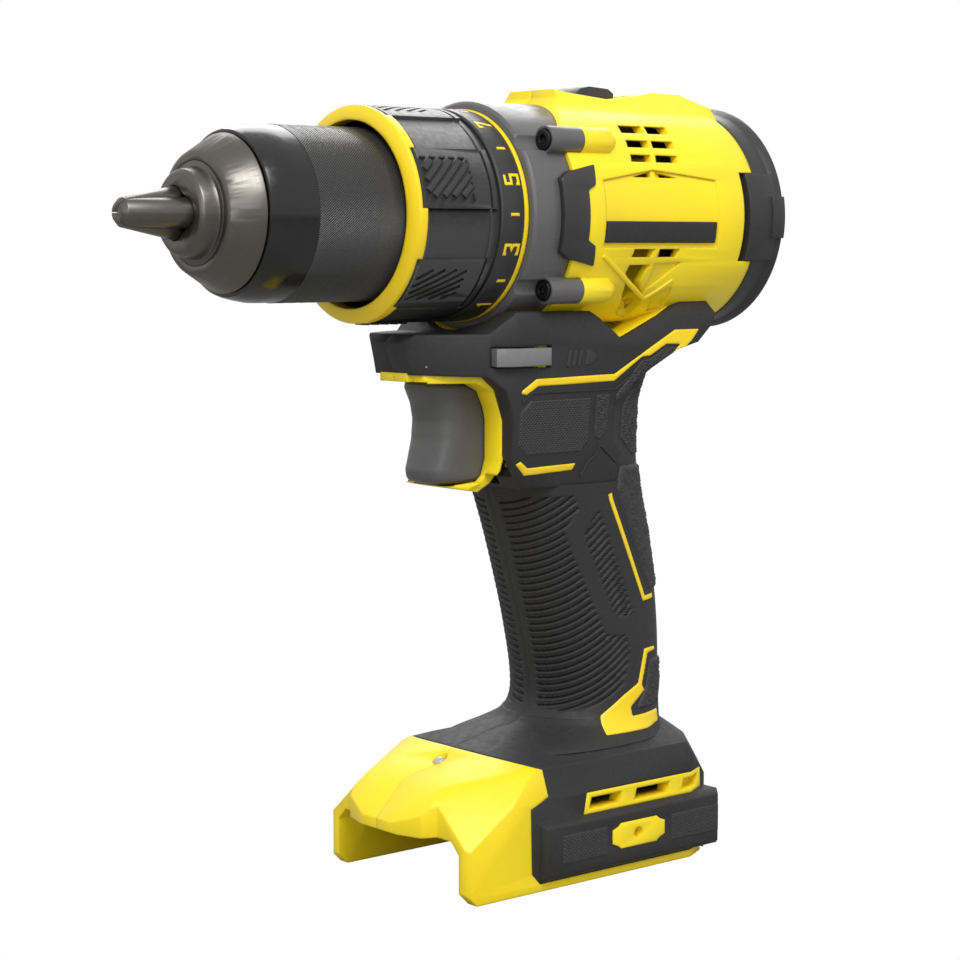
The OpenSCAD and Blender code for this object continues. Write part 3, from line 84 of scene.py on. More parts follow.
import bpy
from mathutils import Matrix, Vector

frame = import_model()
NODES = frame["nodes"]
CAD_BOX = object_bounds()
MM = 0.001
# The spindle's axis datum, from which every place below is measured in millimetres
DATUM = Vector(next(j["pos_m"] for j in frame["joints"] if j["name"] == "chuck_spin"))


def at(x, y, z):
    """A point given in millimetres from the spindle's axis datum."""
    return DATUM + MM * Vector((x, y, z))


def local_box(node):
    """The two corners of a CAD node's box, in millimetres from the datum."""
    return [(corner - DATUM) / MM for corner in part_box(node)]


# ---- sizes and colours a user may change ------------------------------------------------


def colour(name, about, value):
    """A colour that the panel lists."""
    return bpy.props.FloatVectorProperty(
        name=name, description=about, subtype="COLOR", size=3, min=0, max=1, default=value
    )


class DrillColours(bpy.types.PropertyGroup):
    """Colours of the drill's materials"""

    yellow: colour("Yellow", "Colour of the housing", (0.93, 0.71, 0.010))
    accent: colour("Accent yellow", "Colour of the collar rings and markings", (0.90, 0.64, 0.010))
    grip: colour("Grip", "Colour of the soft mouldings", (0.021, 0.021, 0.0215))
    black: colour("Black", "Colour of the hard black mouldings", (0.024, 0.024, 0.0245))
    case: colour("Gear case", "Colour of the gear case", (0.095, 0.095, 0.097))
    trigger: colour("Trigger", "Colour of the trigger", (0.075, 0.075, 0.075))
    chuck: colour("Chuck steel", "Colour of the turned chuck steel", (0.15, 0.138, 0.124))


class DrillSizes(bpy.types.PropertyGroup):
    """Sizes of what the scene adds"""

    edge: bpy.props.FloatProperty(
        name="Edge radius", description="Rounding of the large mouldings' edges",
        default=0.5 * MM, min=0.1 * MM, max=MM, precision=5, unit="LENGTH",
    )
    ridges: bpy.props.IntProperty(
        name="Knurl ridges", description="Number of ridges round the chuck's sleeve",
        default=216, min=60, max=300,
    )


# ---- materials ---------------------------------------------------------------------------


class Finish:
    """A node material under construction."""

    def __init__(self, name, base, roughness, metallic=0.0, specular=0.5):
        self.material = bpy.data.materials.new(name)
        self.material.use_nodes = True
        self.tree = self.material.node_tree
        self.shader = self.tree.nodes["Principled BSDF"]
        self.place = self.add("ShaderNodeTexCoord").outputs["Object"]
        self.base = tuple(base)[:3] + (1.0,)
        self.shader.inputs["Base Color"].default_value = self.base
        self.shader.inputs["Roughness"].default_value = roughness
        self.shader.inputs["Metallic"].default_value = metallic
        self.shader.inputs["Specular IOR Level"].default_value = specular
        self.normal = None

    def add(self, kind, **settings):
        """A new node with its properties and socket values set."""
        node = self.tree.nodes.new(kind)
        for key, value in settings.items():
            if hasattr(node, key):
                setattr(node, key, value)
            else:
                node.inputs[key].default_value = value
        return node

    def link(self, source, target):
        """Joins two sockets."""
        self.tree.links.new(source, target)

    def mapped(self, scale):
        """Stretched object coordinates."""
        node = self.add("ShaderNodeMapping", vector_type="POINT")
        node.inputs["Scale"].default_value = scale
        self.link(self.place, node.inputs["Vector"])
        return node.outputs["Vector"]

    def noise(self, scale, detail=2.0, roughness=0.5, vector=None):
        """Fractal noise on the object's coordinates or another vector."""
        node = self.add("ShaderNodeTexNoise", Scale=scale, Detail=detail, Roughness=roughness)
        self.link(vector or self.place, node.inputs["Vector"])
        return node.outputs["Fac"]

    def ramp(self, source, low, high, out_low, out_high):
        """Maps a value's range from low and high onto another range."""
        node = self.add("ShaderNodeMapRange")
        node.inputs["From Min"].default_value = low
        node.inputs["From Max"].default_value = high
        node.inputs["To Min"].default_value = out_low
        node.inputs["To Max"].default_value = out_high
        self.link(source, node.inputs["Value"])
        return node.outputs["Result"]

    def shade(self, factor, tone):
        """Mixes the base colour towards a tone by a factor."""
        node = self.add("ShaderNodeMix", data_type="RGBA")
        node.inputs[6].default_value = self.base
        node.inputs[7].default_value = tuple(tone)[:3] + (1.0,)
        self.link(factor, node.inputs[0])
        self.link(node.outputs[2], self.shader.inputs["Base Color"])

    def rough(self, source, low, high):
        """Lets a noise move the roughness between two values."""
        self.link(self.ramp(source, 0.3, 0.7, low, high), self.shader.inputs["Roughness"])

    def bump(self, height, distance):
        """Adds a bump of a height in metres on top of those before it."""
        node = self.add("ShaderNodeBump", Distance=distance, Strength=1.0)
        self.link(height, node.inputs["Height"])
        if self.normal is not None:
            self.link(self.normal, node.inputs["Normal"])
        self.normal = node.outputs["Normal"]
        self.link(self.normal, self.shader.inputs["Normal"])

    def soft_edges(self, radius):
        """Rounds sharp edges in the shading."""
        node = self.add("ShaderNodeBevel", samples=4)
        node.inputs["Radius"].default_value = radius
        self.normal = node.outputs["Normal"]
        self.link(self.normal, self.shader.inputs["Normal"])


def scaled(tone, factor):
    """A lighter or darker colour."""
    return [factor * c for c in tone]


def yellow_plastic(name, base, grain=0.5):
    """Bright moulded plastic with a fine spark texture."""
    f = Finish(name, base, 0.36, specular=0.45)
    f.soft_edges(0.0007)
    spark = f.noise(1500, 3.0, 0.6)
    f.bump(spark, 0.00006 * grain)
    f.rough(f.noise(900), 0.33, 0.44)
    f.shade(f.ramp(f.noise(60, 4.0), 0.42, 0.75, 0.0, 0.22), scaled(base, 0.86))
    return f.material


def soft_rubber(name, base, edge=0.0008):
    """Matt black elastomer with a fine stipple."""
    f = Finish(name, base, 0.56, specular=0.42)
    f.soft_edges(edge)
    f.bump(f.noise(2600, 2.0, 0.6), 0.00004)
    f.rough(f.noise(500), 0.56, 0.68)
    f.shade(f.ramp(f.noise(900, 3.0), 0.4, 0.8, 0.0, 0.35), scaled(base, 1.4))
    return f.material


def hard_plastic(name, base, roughness=0.42, grain=0.6, edge=0.0004):
    """Satin moulded plastic."""
    f = Finish(name, base, roughness)
    f.soft_edges(edge)
    f.bump(f.noise(2000, 3.0, 0.6), 0.00004 * grain)
    f.rough(f.noise(700), roughness - 0.06, roughness + 0.06)
    f.shade(f.ramp(f.noise(700, 3.0), 0.4, 0.8, 0.0, 0.3), scaled(base, 1.3))
    return f.material


def turned_steel(name, base, roughness):
    """Lathe-turned steel: fine rings round the spindle axis."""
    f = Finish(name, base, roughness, metallic=1.0)
    f.soft_edges(0.0002)
    rings = f.noise(1.0, 2.0, 0.6, f.mapped(scale=(2600, 30, 30)))
    f.rough(rings, roughness - 0.03, roughness + 0.04)
    f.shade(f.ramp(rings, 0.35, 0.75, 0.0, 0.25), scaled(base, 0.75))
    return f.material


def plain_steel(name, base, roughness):
    """Ground or blackened steel with faint marks."""
    f = Finish(name, base, roughness, metallic=1.0)
    f.soft_edges(0.00015)
    f.bump(f.noise(1600, 4.0, 0.6), 0.00001)
    f.rough(f.noise(400, 4.0), roughness - 0.08, roughness + 0.12)
    f.shade(f.ramp(f.noise(150, 5.0), 0.35, 0.75, 0.0, 0.4), scaled(base, 0.65))
    return f.material


def clear_lens(name):
    """Clear moulded lens with a faint haze."""
    f = Finish(name, (0.9, 0.9, 0.9), 0.08, specular=0.6)
    f.shader.inputs["Transmission Weight"].default_value = 0.6
    f.bump(f.noise(900, 2.0), 0.00001)
    f.rough(f.noise(300), 0.05, 0.14)
    return f.material


MATERIALS = {}


def make_materials(tone):
    """Fills MATERIALS with every material of the drill."""
    for name, finish, *settings in (
        ("yellow_shell", yellow_plastic, tone.yellow, 1.0),
        ("accent_yellow", yellow_plastic, tone.accent, 0.5),
        ("soft_grip", soft_rubber, tone.grip),
        ("ribbed_grip", soft_rubber, tone.grip, 0.00005),
        # The knurl's ridges take a much lighter copy of the black than the sleeve: a painted highlight for
        # the light the ridges catch
        ("knurl_grey", hard_plastic, scaled(tone.black, 1.7), 0.4, 0.05, 0.00002),
        # A lighter copy of the grip colour for the textured fields: its extra brightness is painted sheen for
        # the light their fine relief catches
        ("fine_grip", soft_rubber, scaled(tone.grip, 1.5), 0.00002),
        ("black_plastic", hard_plastic, tone.black),
        ("sleeve_black", hard_plastic, scaled(tone.black, 0.35), 0.2, 0.02, 0.00003),
        ("case_grey", hard_plastic, tone.case, 0.34),
        ("trigger_grey", hard_plastic, tone.trigger, 0.4),
        ("lever_grey", hard_plastic, scaled(tone.trigger, 2.2), 0.35),
        ("switch_black", hard_plastic, scaled(tone.black, 0.7), 0.5),
        ("chuck_steel", turned_steel, tone.chuck, 0.34),
        ("bare_steel", plain_steel, (0.55, 0.54, 0.52), 0.3),
        ("gear_steel", plain_steel, (0.42, 0.41, 0.40), 0.4),
        ("black_steel", plain_steel, (0.05, 0.05, 0.052), 0.35),
        ("magnet", plain_steel, (0.10, 0.10, 0.11), 0.55),
        ("windings", plain_steel, (0.45, 0.22, 0.10), 0.35),
        ("bronze", plain_steel, (0.55, 0.38, 0.18), 0.4),
        ("lens", clear_lens),
        ("board_green", hard_plastic, (0.02, 0.10, 0.03), 0.4),
        ("wire_red", soft_rubber, (0.35, 0.02, 0.015)),
    ):
        MATERIALS[name] = finish(name, *settings)


# ---- modelling helpers -------------------------------------------------------------------

SEAM = 1e-6  # metres between points that are welded
FLAT = 0.4  # degrees between faces that are merged


def fresh(name):
    """The object that an operator has just made, under its name."""
    piece = bpy.context.view_layer.objects.active
    piece.name = piece.data.name = name
    return piece


def hold(piece):
    """Makes a piece the only selected one."""
    bpy.ops.object.select_all(action="DESELECT")
    piece.select_set(True)
    bpy.context.view_layer.objects.active = piece


def edit(piece, how="SELECT"):
    """Enters edit mode on a piece, with all or none of it selected."""
    hold(piece)
    bpy.ops.object.mode_set(mode="EDIT")
    if how:
        bpy.ops.mesh.select_all(action=how)


def leave():
    """Goes back to object mode."""
    bpy.ops.object.mode_set(mode="OBJECT")


def facing_out(piece):
    """Turns all of a piece's normals outwards."""
    edit(piece)
    bpy.ops.mesh.normals_make_consistent(inside=False)
    leave()
    return piece


def smooth(piece, angle=32):
    """Shades a piece smooth up to an angle in degrees."""
    hold(piece)
    bpy.ops.object.shade_smooth_by_angle(angle=math.radians(angle))
    return piece


def dressed(piece, material, body):
    """Gives a finished piece its material, slot and body."""
    piece.data.materials.clear()
    piece.data.materials.append(MATERIALS[material])
    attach(piece, body)
    return piece


def copied(name, node):
    """A free copy of a CAD node, with its flat faces merged."""
    hold(NODES[node])
    bpy.ops.object.duplicate()
    bpy.ops.object.parent_clear(type="CLEAR_KEEP_TRANSFORM")
    piece = fresh(name)
    for key in [k for k in piece.keys() if k.startswith("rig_")]:
        del piece[key]
    edit(piece)
    bpy.ops.mesh.remove_doubles(threshold=SEAM)
    bpy.ops.mesh.dissolve_limited(angle_limit=math.radians(FLAT))
    leave()
    return piece


def modified(piece, kind, **settings):
    """Adds a modifier and applies it."""
    hold(piece)
    modifier = piece.modifiers.new(kind.title(), kind)
    for key, value in settings.items():
        setattr(modifier, key, value)
    bpy.ops.object.modifier_apply(modifier=modifier.name)
    return piece


def rounded(piece, width, angle=35):
    """Bevels the sharp edges of a piece by a width in millimetres."""
    modified(
        piece, "BEVEL", width=width * MM, segments=2, limit_method="ANGLE",
        angle_limit=math.radians(angle), miter_outer="MITER_ARC", use_clamp_overlap=True,
    )
    return smooth(piece)


def refined(name, node, width, material, body, angle=35):
    """Replaces a CAD node by a copy with rounded edges."""
    piece = rounded(copied(name, node), width, angle)
    dressed(piece, material, body)
    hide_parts(node)


def outline_piece(name, points):
    """A flat face with the given corners, in metres."""
    bpy.ops.object.select_all(action="DESELECT")
    bpy.ops.mesh.primitive_circle_add(vertices=len(points), fill_type="NGON", radius=1)
    piece = fresh(name)
    for vertex, point in zip(piece.data.vertices, points):
        vertex.co = point
    return piece


def slab(name, points, move):
    """A solid pulled out of a flat outline by a vector in metres."""
    piece = outline_piece(name, points)
    edit(piece)
    bpy.ops.mesh.extrude_region_move(TRANSFORM_OT_translate={"value": move})
    leave()
    return facing_out(piece)


def side_slab(name, points, y0, y1):
    """A slab with an outline in x and z, between two distances across."""
    return slab(name, [at(x, y0, z) for x, z in points], MM * Vector((0, y1 - y0, 0)))


def carve(piece, *cutters):
    """Takes cutters out of a piece."""
    for cutter in cutters:
        modified(piece, "BOOLEAN", operation="DIFFERENCE", solver="EXACT", object=cutter)
        bpy.data.objects.remove(cutter)
    return piece


def surface(name, columns, rows, place, closed=False):
    """A grid of columns and rows laid out by place(u, w), closed round u where asked."""
    bpy.ops.object.select_all(action="DESELECT")
    bpy.ops.mesh.primitive_grid_add(x_subdivisions=columns, y_subdivisions=rows, size=2)
    piece = fresh(name)
    for vertex in piece.data.vertices:
        u, w = (vertex.co.x + 1) / 2, (vertex.co.y + 1) / 2
        vertex.co = place(u, w)
    if closed:
        edit(piece)
        bpy.ops.mesh.remove_doubles(threshold=SEAM)
        leave()
    return facing_out(piece)


def joined(name, *pieces):
    """Makes one object of several."""
    bpy.ops.object.select_all(action="DESELECT")
    for piece in pieces:
        piece.select_set(True)
    bpy.context.view_layer.objects.active = pieces[0]
    if len(pieces) > 1:
        bpy.ops.object.join()
    return fresh(name)


# ---- forms laid on the tool's surfaces ---------------------------------------------------

SIDES = ((-1, "left"), (1, "right"))
HOUSING_R = 30.3  # outer radius of the housing's round part


def mix(a, b, t):
    """The value a share t of the way from a to b."""
    return a + (b - a) * t


def depth_inside(outline, s, t):
    """How far a point lies inside an outline, negative outside it."""
    nearest, inside = 1e9, False
    for (s0, t0), (s1, t1) in zip(outline, outline[1:] + outline[:1]):
        ds, dt = s1 - s0, t1 - t0
        k = max(0.0, min(1.0, ((s - s0) * ds + (t - t0) * dt) / (ds * ds + dt * dt)))
        nearest = min(nearest, math.hypot(s - s0 - k * ds, t - t0 - k * dt))
        if (t0 > t) != (t1 > t) and s < s0 + (t - t0) * ds / dt:
            inside = not inside
    return nearest if inside else -nearest


def round_spot(radius, side=-1):
    """Chart of a cylinder round the spindle axis: along, arc from a side up, height."""

    def spot(s, t, height):
        turn = t / radius
        r = radius + height
        return at(s, side * r * math.cos(turn), r * math.sin(turn))

    return spot


def side_spot(side, target):
    """Chart of the tool's side: along and up, landed on a piece, and the height off it."""
    out = Vector((0, side, 0))

    def spot(s, t, height):
        hit, place, normal, _ = target.ray_cast(at(s, 70 * side, t), -out)
        if not hit or (place - DATUM).dot(out) < 5 * MM:
            return None
        return place + MM * height * (normal + 0.6 * out).normalized()

    return spot


def bar(name, spot, path, width, height, edge=0.15, depth=0.3, steps=4):
    """A ridge along a path of chart points, sunk into the surface under it."""
    path = [Vector(p) for p in path]
    lines = []
    for k, point in enumerate(path):
        before = (point - path[k - 1]).normalized() if k else None
        after = (path[k + 1] - point).normalized() if k + 1 < len(path) else None
        along = ((before or after) + (after or before)).normalized()
        normal = Vector((-along.y, along.x))
        share = max(0.5, abs(along.dot(before or after)))
        lines.append((point, normal / share))
    rows = []
    for (p0, n0), (p1, n1) in zip(lines, lines[1:]):
        rows += [(p0.lerp(p1, k / steps), n0.lerp(n1, k / steps)) for k in range(steps)]
    rows.append(lines[-1])
    half = width / 2
    across = ((-half, -depth), (-half + edge * 0.3, height - edge * 0.6), (-half + edge, height),
              (half - edge, height), (half - edge * 0.3, height - edge * 0.6), (half, -depth))
    last = len(rows) + 1

    def place(u, w):
        i, j = round(u * last), round(w * 5)
        point, normal = rows[max(0, min(len(rows) - 1, i - 1))]
        offset, level = across[j]
        if i in (0, last):
            level = -depth
        q = point + normal * offset
        return spot(q.x, q.y, level)

    return surface(name, last, 5, place)


def bars(name, spot, paths, width, height, **shape):
    """One object with a ridge along each path."""
    return joined(name, *[bar(name, spot, path, width, height, **shape) for path in paths])


def relief(name, spot, outline, step, lift):
    """A moulded field inside an outline, whose height comes from lift(s, t, depth)."""
    low = [min(p[k] for p in outline) - step for k in (0, 1)]
    high = [max(p[k] for p in outline) + step for k in (0, 1)]
    columns, rows = (max(2, round((high[k] - low[k]) / step)) for k in (0, 1))
    depths = []

    def place(u, w):
        s, t = mix(low[0], high[0], u), mix(low[1], high[1], w)
        depth = depth_inside(outline, s, t)
        point = spot(s, t, lift(s, t, depth) if depth > -step else -0.4)
        depths.append(-9.0 if point is None else depth)
        return at(s, 0, t) if point is None else point

    piece = surface(name, columns, rows, place)
    edit(piece, "DESELECT")
    leave()
    for vertex, depth in zip(piece.data.vertices, depths):
        vertex.select = depth < -1.5 * step
    edit(piece, None)
    bpy.ops.mesh.delete(type="VERT")
    leave()
    return piece


def plateau(height, ramp, texture=None):
    """A lift that rises over a ramp from an outline to a flat or textured top."""

    def lift(s, t, depth):
        level = min(1.0, (depth + 0.15) / ramp) * (height + 0.3) - 0.3
        return level + (texture(s, t) if texture and depth > ramp else 0.0)

    return lift


def stippled(s, t):
    """A fine grain."""
    return 0.25 * math.sin(5.1 * s + 2 * math.sin(3.3 * t)) * math.sin(4.7 * t + 2 * math.sin(2.9 * s))


def crossed(s, t):
    """Fine crossing ridges."""
    return 0.45 * max(abs(math.sin(2.9 * (s + t))), abs(math.sin(2.9 * (s - t)))) - 0.3


def block(name, spot, corners, low, high):
    """A solid between four corners of a chart, from a low to a high level."""
    a, b, c, d = (Vector(p) for p in corners)
    bpy.ops.object.select_all(action="DESELECT")
    bpy.ops.mesh.primitive_cube_add(size=2)
    piece = fresh(name)
    edit(piece)
    bpy.ops.mesh.subdivide(number_cuts=8)
    leave()
    for vertex in piece.data.vertices:
        u, w, v = ((k + 1) / 2 for k in vertex.co)
        q = a.lerp(b, u).lerp(d.lerp(c, u), w)
        vertex.co = spot(q.x, q.y, mix(low, high, v))
    return facing_out(piece)


def clipped(x, t, slope, box):
    """The part of a slanting line through a chart point that lies in a box."""
    ends = sorted((box[k] - t) / slope + x for k in (2, 3))
    a, b = max(box[0], ends[0]), min(box[1], ends[1])
    return [(a, t + slope * (a - x)), (b, t + slope * (b - x))] if b - a > 1.2 else None


def on_arc(x, z):
    """The chart point of the housing's side that lies at a height."""
    return x, HOUSING_R * math.asin(z / HOUSING_R)


def recess(side, outline, depth):
    """A cutter for a shallow recess in a side of the round housing."""
    cutter = side_slab("recess", outline, 14 * side, 40 * side)
    bpy.ops.mesh.primitive_cylinder_add(
        vertices=192, radius=(HOUSING_R - depth) * MM, depth=0.3,
        location=DATUM, rotation=(0, math.radians(90), 0),
    )
    return carve(cutter, bpy.context.view_layer.objects.active)


def ring(name, profile, steps=256):
    """A ring turned about the spindle axis from a closed outline of along and radius."""
    count = len(profile)

    def place(u, w):
        x, r = profile[round(u * count) % count]
        turn = 2 * math.pi * w
        return at(x, -r * math.cos(turn), r * math.sin(turn))

    return smooth(surface(name, count, steps, place, closed=True), 30)


def pole(turn):
    """A turn about the spindle axis, in degrees."""
    about = Matrix.Rotation(math.radians(turn), 4, "X")
    return Matrix.Translation(DATUM) @ about @ Matrix.Translation(-DATUM)


def repeated(piece, count, turn):
    """Copies a piece round the spindle axis, count times in all, a turn in degrees apart."""
    bpy.ops.object.empty_add()
    hub = bpy.context.view_layer.objects.active
    hub.matrix_world = pole(turn)
    bpy.context.view_layer.update()
    modified(
        piece, "ARRAY", count=count, use_relative_offset=False, use_object_offset=True, offset_object=hub,
    )
    bpy.data.objects.remove(hub)


# ---- operators ---------------------------------------------------------------------------


class PaintNodes(bpy.types.Operator):
    """Makes the materials and gives each CAD node the one of its slot"""

    bl_idname = "drill.paint_nodes"
    bl_label = "Materials"

    def execute(self, context):
        make_materials(context.scene.drill_colours)
        slots = {part["node"]: part["material_slot"] for part in frame["record"]["subparts"]}
        for node, piece in NODES.items():
            piece.data.materials.clear()
            piece.data.materials.append(MATERIALS[slots[node]])
        return {"FINISHED"}


# Outlines on the housing's side, along and up from the spindle
NAME_PANEL = [(13.1, 8.9), (31.8, 11.9), (53.8, 9.6), (53.8, -8.2), (13.1, -8.2)]
UPPER_POCKET = [(32.8, -12.3), (42.1, -12), (32.8, -20.2)]
LOWER_POCKET = [(37.1, -20.8), (42.8, -18.5), (44.5, -24.1), (39.9, -25)]
WINDOW = [
    (25, -17.5), (30.5, -12.4), (30, -17), (34.8, -21.6), (35, -24), (34, -26.6), (30.1, -25.6),
    (26, -20.2),
]
RECESSES = ((NAME_PANEL, 0.6), (UPPER_POCKET, 0.6), (LOWER_POCKET, 0.6), (WINDOW, 4.0))
VENT_RIB = [(13.7, -10.2), (34.7, -21.6), (41.5, -16.7)]
BARE_PLATE = [(13.4, -6.9), (53, -6.9), (53, -1.4), (13.4, -1.4)]
# The rear lower corner of the trigger's band, on its outer and its inner part
BAND_CORNER = [
    (-8.2, -56), (-8.6, -61), (-10, -64.9), (-12.9, -67.7), (-16.7, -69.8),
    (-16.7, -75), (-3, -75), (-3, -56),
]
BAND_HEEL = [
    (-5, -59), (-5.2, -61.5), (-6.6, -65.4), (-9.5, -68.3), (-13.4, -70.3),
    (-13.4, -75), (-3, -75), (-3, -59),
]
# The floor under the trigger, along and across, and the part of the shell under the grips' beak
TRIGGER_FLOOR = [(-40, 40), (-12.4, 40), (-12.4, 13), (-22.3, 8.4), (-40, 2)]
BEAK = [(-40, -39.2), (-16, -39.2), (-16, -35), (-40, -35)]
BUTTON_POCKET = [(-2.5, -38.6), (2, -38.6), (2, -32.9), (-2.5, -32.9)]


def button_pocket(side):
    """A cutter for the rear end of the direction button's way through a side."""
    return side_slab("pocket", BUTTON_POCKET, 19.2 * side, 30 * side)


class Housing(bpy.types.Operator):
    """Rounds the edges of the two housing halves and adds the forms of their sides"""

    bl_idname = "drill.housing"
    bl_label = "Housing"

    def execute(self, context):
        for side, word in SIDES:
            shell = copied(word + "_shell", word + "_housing")
            recesses = [recess(side, outline, depth) for outline, depth in RECESSES]
            floor = slab("floor", [at(x, side * y, -72) for x, y in TRIGGER_FLOOR], Vector((0, 0, 6 * MM)))
            carve(
                shell, *recesses, floor,
                side_slab("corner", BAND_CORNER, 11 * side, 24 * side),
                side_slab("heel", BAND_HEEL, -0.5 * side, 11 * side),
                button_pocket(side),
                side_slab("beak", BEAK, 13 * side, 24 * side),
            )
            rounded(shell, context.scene.drill_sizes.edge / MM)
            dressed(shell, "yellow_shell", "housing")
            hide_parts(word + "_housing")
            spot = round_spot(HOUSING_R, side)
            rib = bar(word + "_vent_rib", spot, [on_arc(*p) for p in VENT_RIB], 1.5, 0.45, edge=0.4, steps=10)
            smooth(rib)
            dressed(rib, "yellow_shell", "housing")
            plate = block(word + "_bare_plate", spot, [on_arc(*p) for p in BARE_PLATE], -0.9, 0.15)
            rounded(plate, 0.2)
            dressed(plate, "soft_grip", "housing")
        return {"FINISHED"}


BEAK_START = -24  # where the grips' front end over the trigger begins to narrow
HANDLE_FIELD = [(-30, -133), (62, -133), (62, -70.5), (-30, -70.5)]  # the part that the skin covers


class Grips(bpy.types.Operator):
    """Rounds the soft mouldings, narrows their beak and clears the handle for its skin"""

    bl_idname = "drill.grips"
    bl_label = "Soft grips"

    def execute(self, context):
        for side, word in SIDES:
            grip = copied(word + "_rubber", word + "_grip")
            for vertex in grip.data.vertices:
                place = (vertex.co - DATUM) / MM
                if place.x < BEAK_START and place.z < -36:
                    vertex.co.y *= 1 - 0.22 * min(1.0, (BEAK_START - place.x) / 5)
            handle = side_slab("handle", HANDLE_FIELD, -30, 30)
            carve(grip, joined("cuts", handle, button_pocket(side)))
            rounded(grip, context.scene.drill_sizes.edge / MM)
            dressed(grip, "soft_grip", "housing")
            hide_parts(word + "_grip")
        return {"FINISHED"}


# The handle's sections: height, front, rear and half width
HANDLE = (
    (-141, -12, 54, 25.57), (-138.6, -8, 53.6, 23.5), (-136.4, 2, 53.4, 21.24), (-134.4, 9.5, 53.2, 19.93),
    (-131, 13.4, 53, 19.18), (-124, 14, 52.9, 18.8), (-110, 11.2, 52.8, 18.61), (-97, 7.6, 51.6, 18.42),
    (-83, 3.4, 48.8, 18.61), (-72, -0.4, 46, 18.8), (-60, -4.4, 44.8, 19.36), (-48, -6, 45.4, 19.93),
)
HANDLE_POWER = 0.86  # below 1 the sections are squarer than an ellipse
SKIN_LIFT = 0.25  # how far the skin stands off the handle's form


def handle_section(z):
    """Front, rear and half width of the handle at a height, on a smooth curve."""
    k = 0
    while k < len(HANDLE) - 2 and z > HANDLE[k + 1][0]:
        k += 1
    rows = [HANDLE[max(0, min(len(HANDLE) - 1, k + d))] for d in (-1, 0, 1, 2)]
    span = rows[2][0] - rows[1][0]
    t = (z - rows[1][0]) / span
    values = []
    for c in (1, 2, 3):
        slopes = [
            (rows[b][c] - rows[a][c]) / (rows[b][0] - rows[a][0]) * span for a, b in ((0, 2), (1, 3))
        ]
        h00, h10 = 2 * t**3 - 3 * t**2 + 1, t**3 - 2 * t**2 + t
        h01, h11 = 3 * t**2 - 2 * t**3, t**3 - t**2
        values.append(h00 * rows[1][c] + h10 * slopes[0] + h01 * rows[2][c] + h11 * slopes[1])
    return values


def handle_point(z, turn, height):
    """A point on the handle at a turn from the rear, over the far side, and a height off it."""
    front, rear, half = handle_section(z)
    c, q = math.cos(turn), math.sin(turn)
    x = math.copysign(abs(c) ** HANDLE_POWER, c)
    y = math.copysign(abs(q) ** HANDLE_POWER, q)
    depth = (rear - front) / 2
    out = Vector((x / depth, y / half)).normalized()
    return (front + rear) / 2 + depth * x + height * out.x, half * y + height * out.y


def handle_spot(side):
    """Chart of the handle's side: along and up, and the height off it."""

    def spot(s, t, height):
        front, rear, half = handle_section(t)
        share = max(-1.0, min(1.0, (s - (front + rear) / 2) * 2 / (rear - front)))
        turn = math.acos(math.copysign(abs(share) ** (1 / HANDLE_POWER), share))
        x, y = handle_point(t, turn, height + SKIN_LIFT)
        return at(x, side * y, t)

    return spot


# Ribbed fields of the handle, seen from the side
RIB_FIELDS = (
    [(-6, -73.3), (4.3, -72.6), (14, -72.5), (15.4, -76.4), (14.4, -78.2), (12.2, -82.2), (12.8, -83.6),
     (24.8, -109.8), (26.4, -110.8), (31.6, -111.1), (33.6, -116), (31, -124.9), (24.8, -128.7),
     (18.1, -131.7), (14.5, -131.5), (4, -131.2)],
    [(21.3, -76.8), (17.3, -82), (17.4, -83.9), (27.3, -105), (29.1, -106.6), (34.1, -106.7),
     (34.8, -105.5), (22.6, -78)],
)
RIB_RANGE = (-133, -71)  # heights between which there are ribs
RIB_PITCH = 1.85
RIB_LEAN, RIB_BEND = 0.52, 0.004  # how a rib rises towards the rear
SLIT_DEPTH, STEP_DEPTH = 0.85, 0.35  # the slit between two ribs and the slope of each rib
SPINE = 2.6  # smooth strip beside the parting line
SKIN_RANGE = (-139.5, -69.6)  # lower and upper edge of the skin


def rib_height(x, y, z):
    """Height of the handle's skin over its form, with the waves of the ribbed fields."""
    if abs(y) < 0.1:
        return -SKIN_LIFT
    if not RIB_RANGE[0] < z < RIB_RANGE[1]:
        return 0.0
    depth = min(max(depth_inside(field, x, z) for field in RIB_FIELDS), abs(y) - SPINE)
    if depth <= 0:
        return 0.0
    front = handle_section(z)[0]
    along = max(0.0, x - front)
    phase = ((z - RIB_LEAN * along - RIB_BEND * along * along) / RIB_PITCH) % 1.0
    fade = min(1.0, depth / 0.5)
    slit = max(0.0, 1 - abs(phase - 0.5) / 0.2)
    return -fade * (SLIT_DEPTH * slit * slit * (3 - 2 * slit) + STEP_DEPTH * phase)


class HandleSkin(bpy.types.Operator):
    """Covers the handle with its smooth skin and the waves of its ribbed fields"""

    bl_idname = "drill.handle_skin"
    bl_label = "Handle skin"

    def execute(self, context):
        def place(u, w):
            turn = 2 * math.pi * u
            z = mix(*SKIN_RANGE, w)
            x, y = handle_point(z, turn, 0.0)
            x, y = handle_point(z, turn, SKIN_LIFT + rib_height(x, y, z))
            return at(x, y, z)

        skin = surface("handle_skin", 300, 280, place, closed=True)
        smooth(skin, 60)
        dressed(skin, "ribbed_grip", "housing")
        return {"FINISHED"}


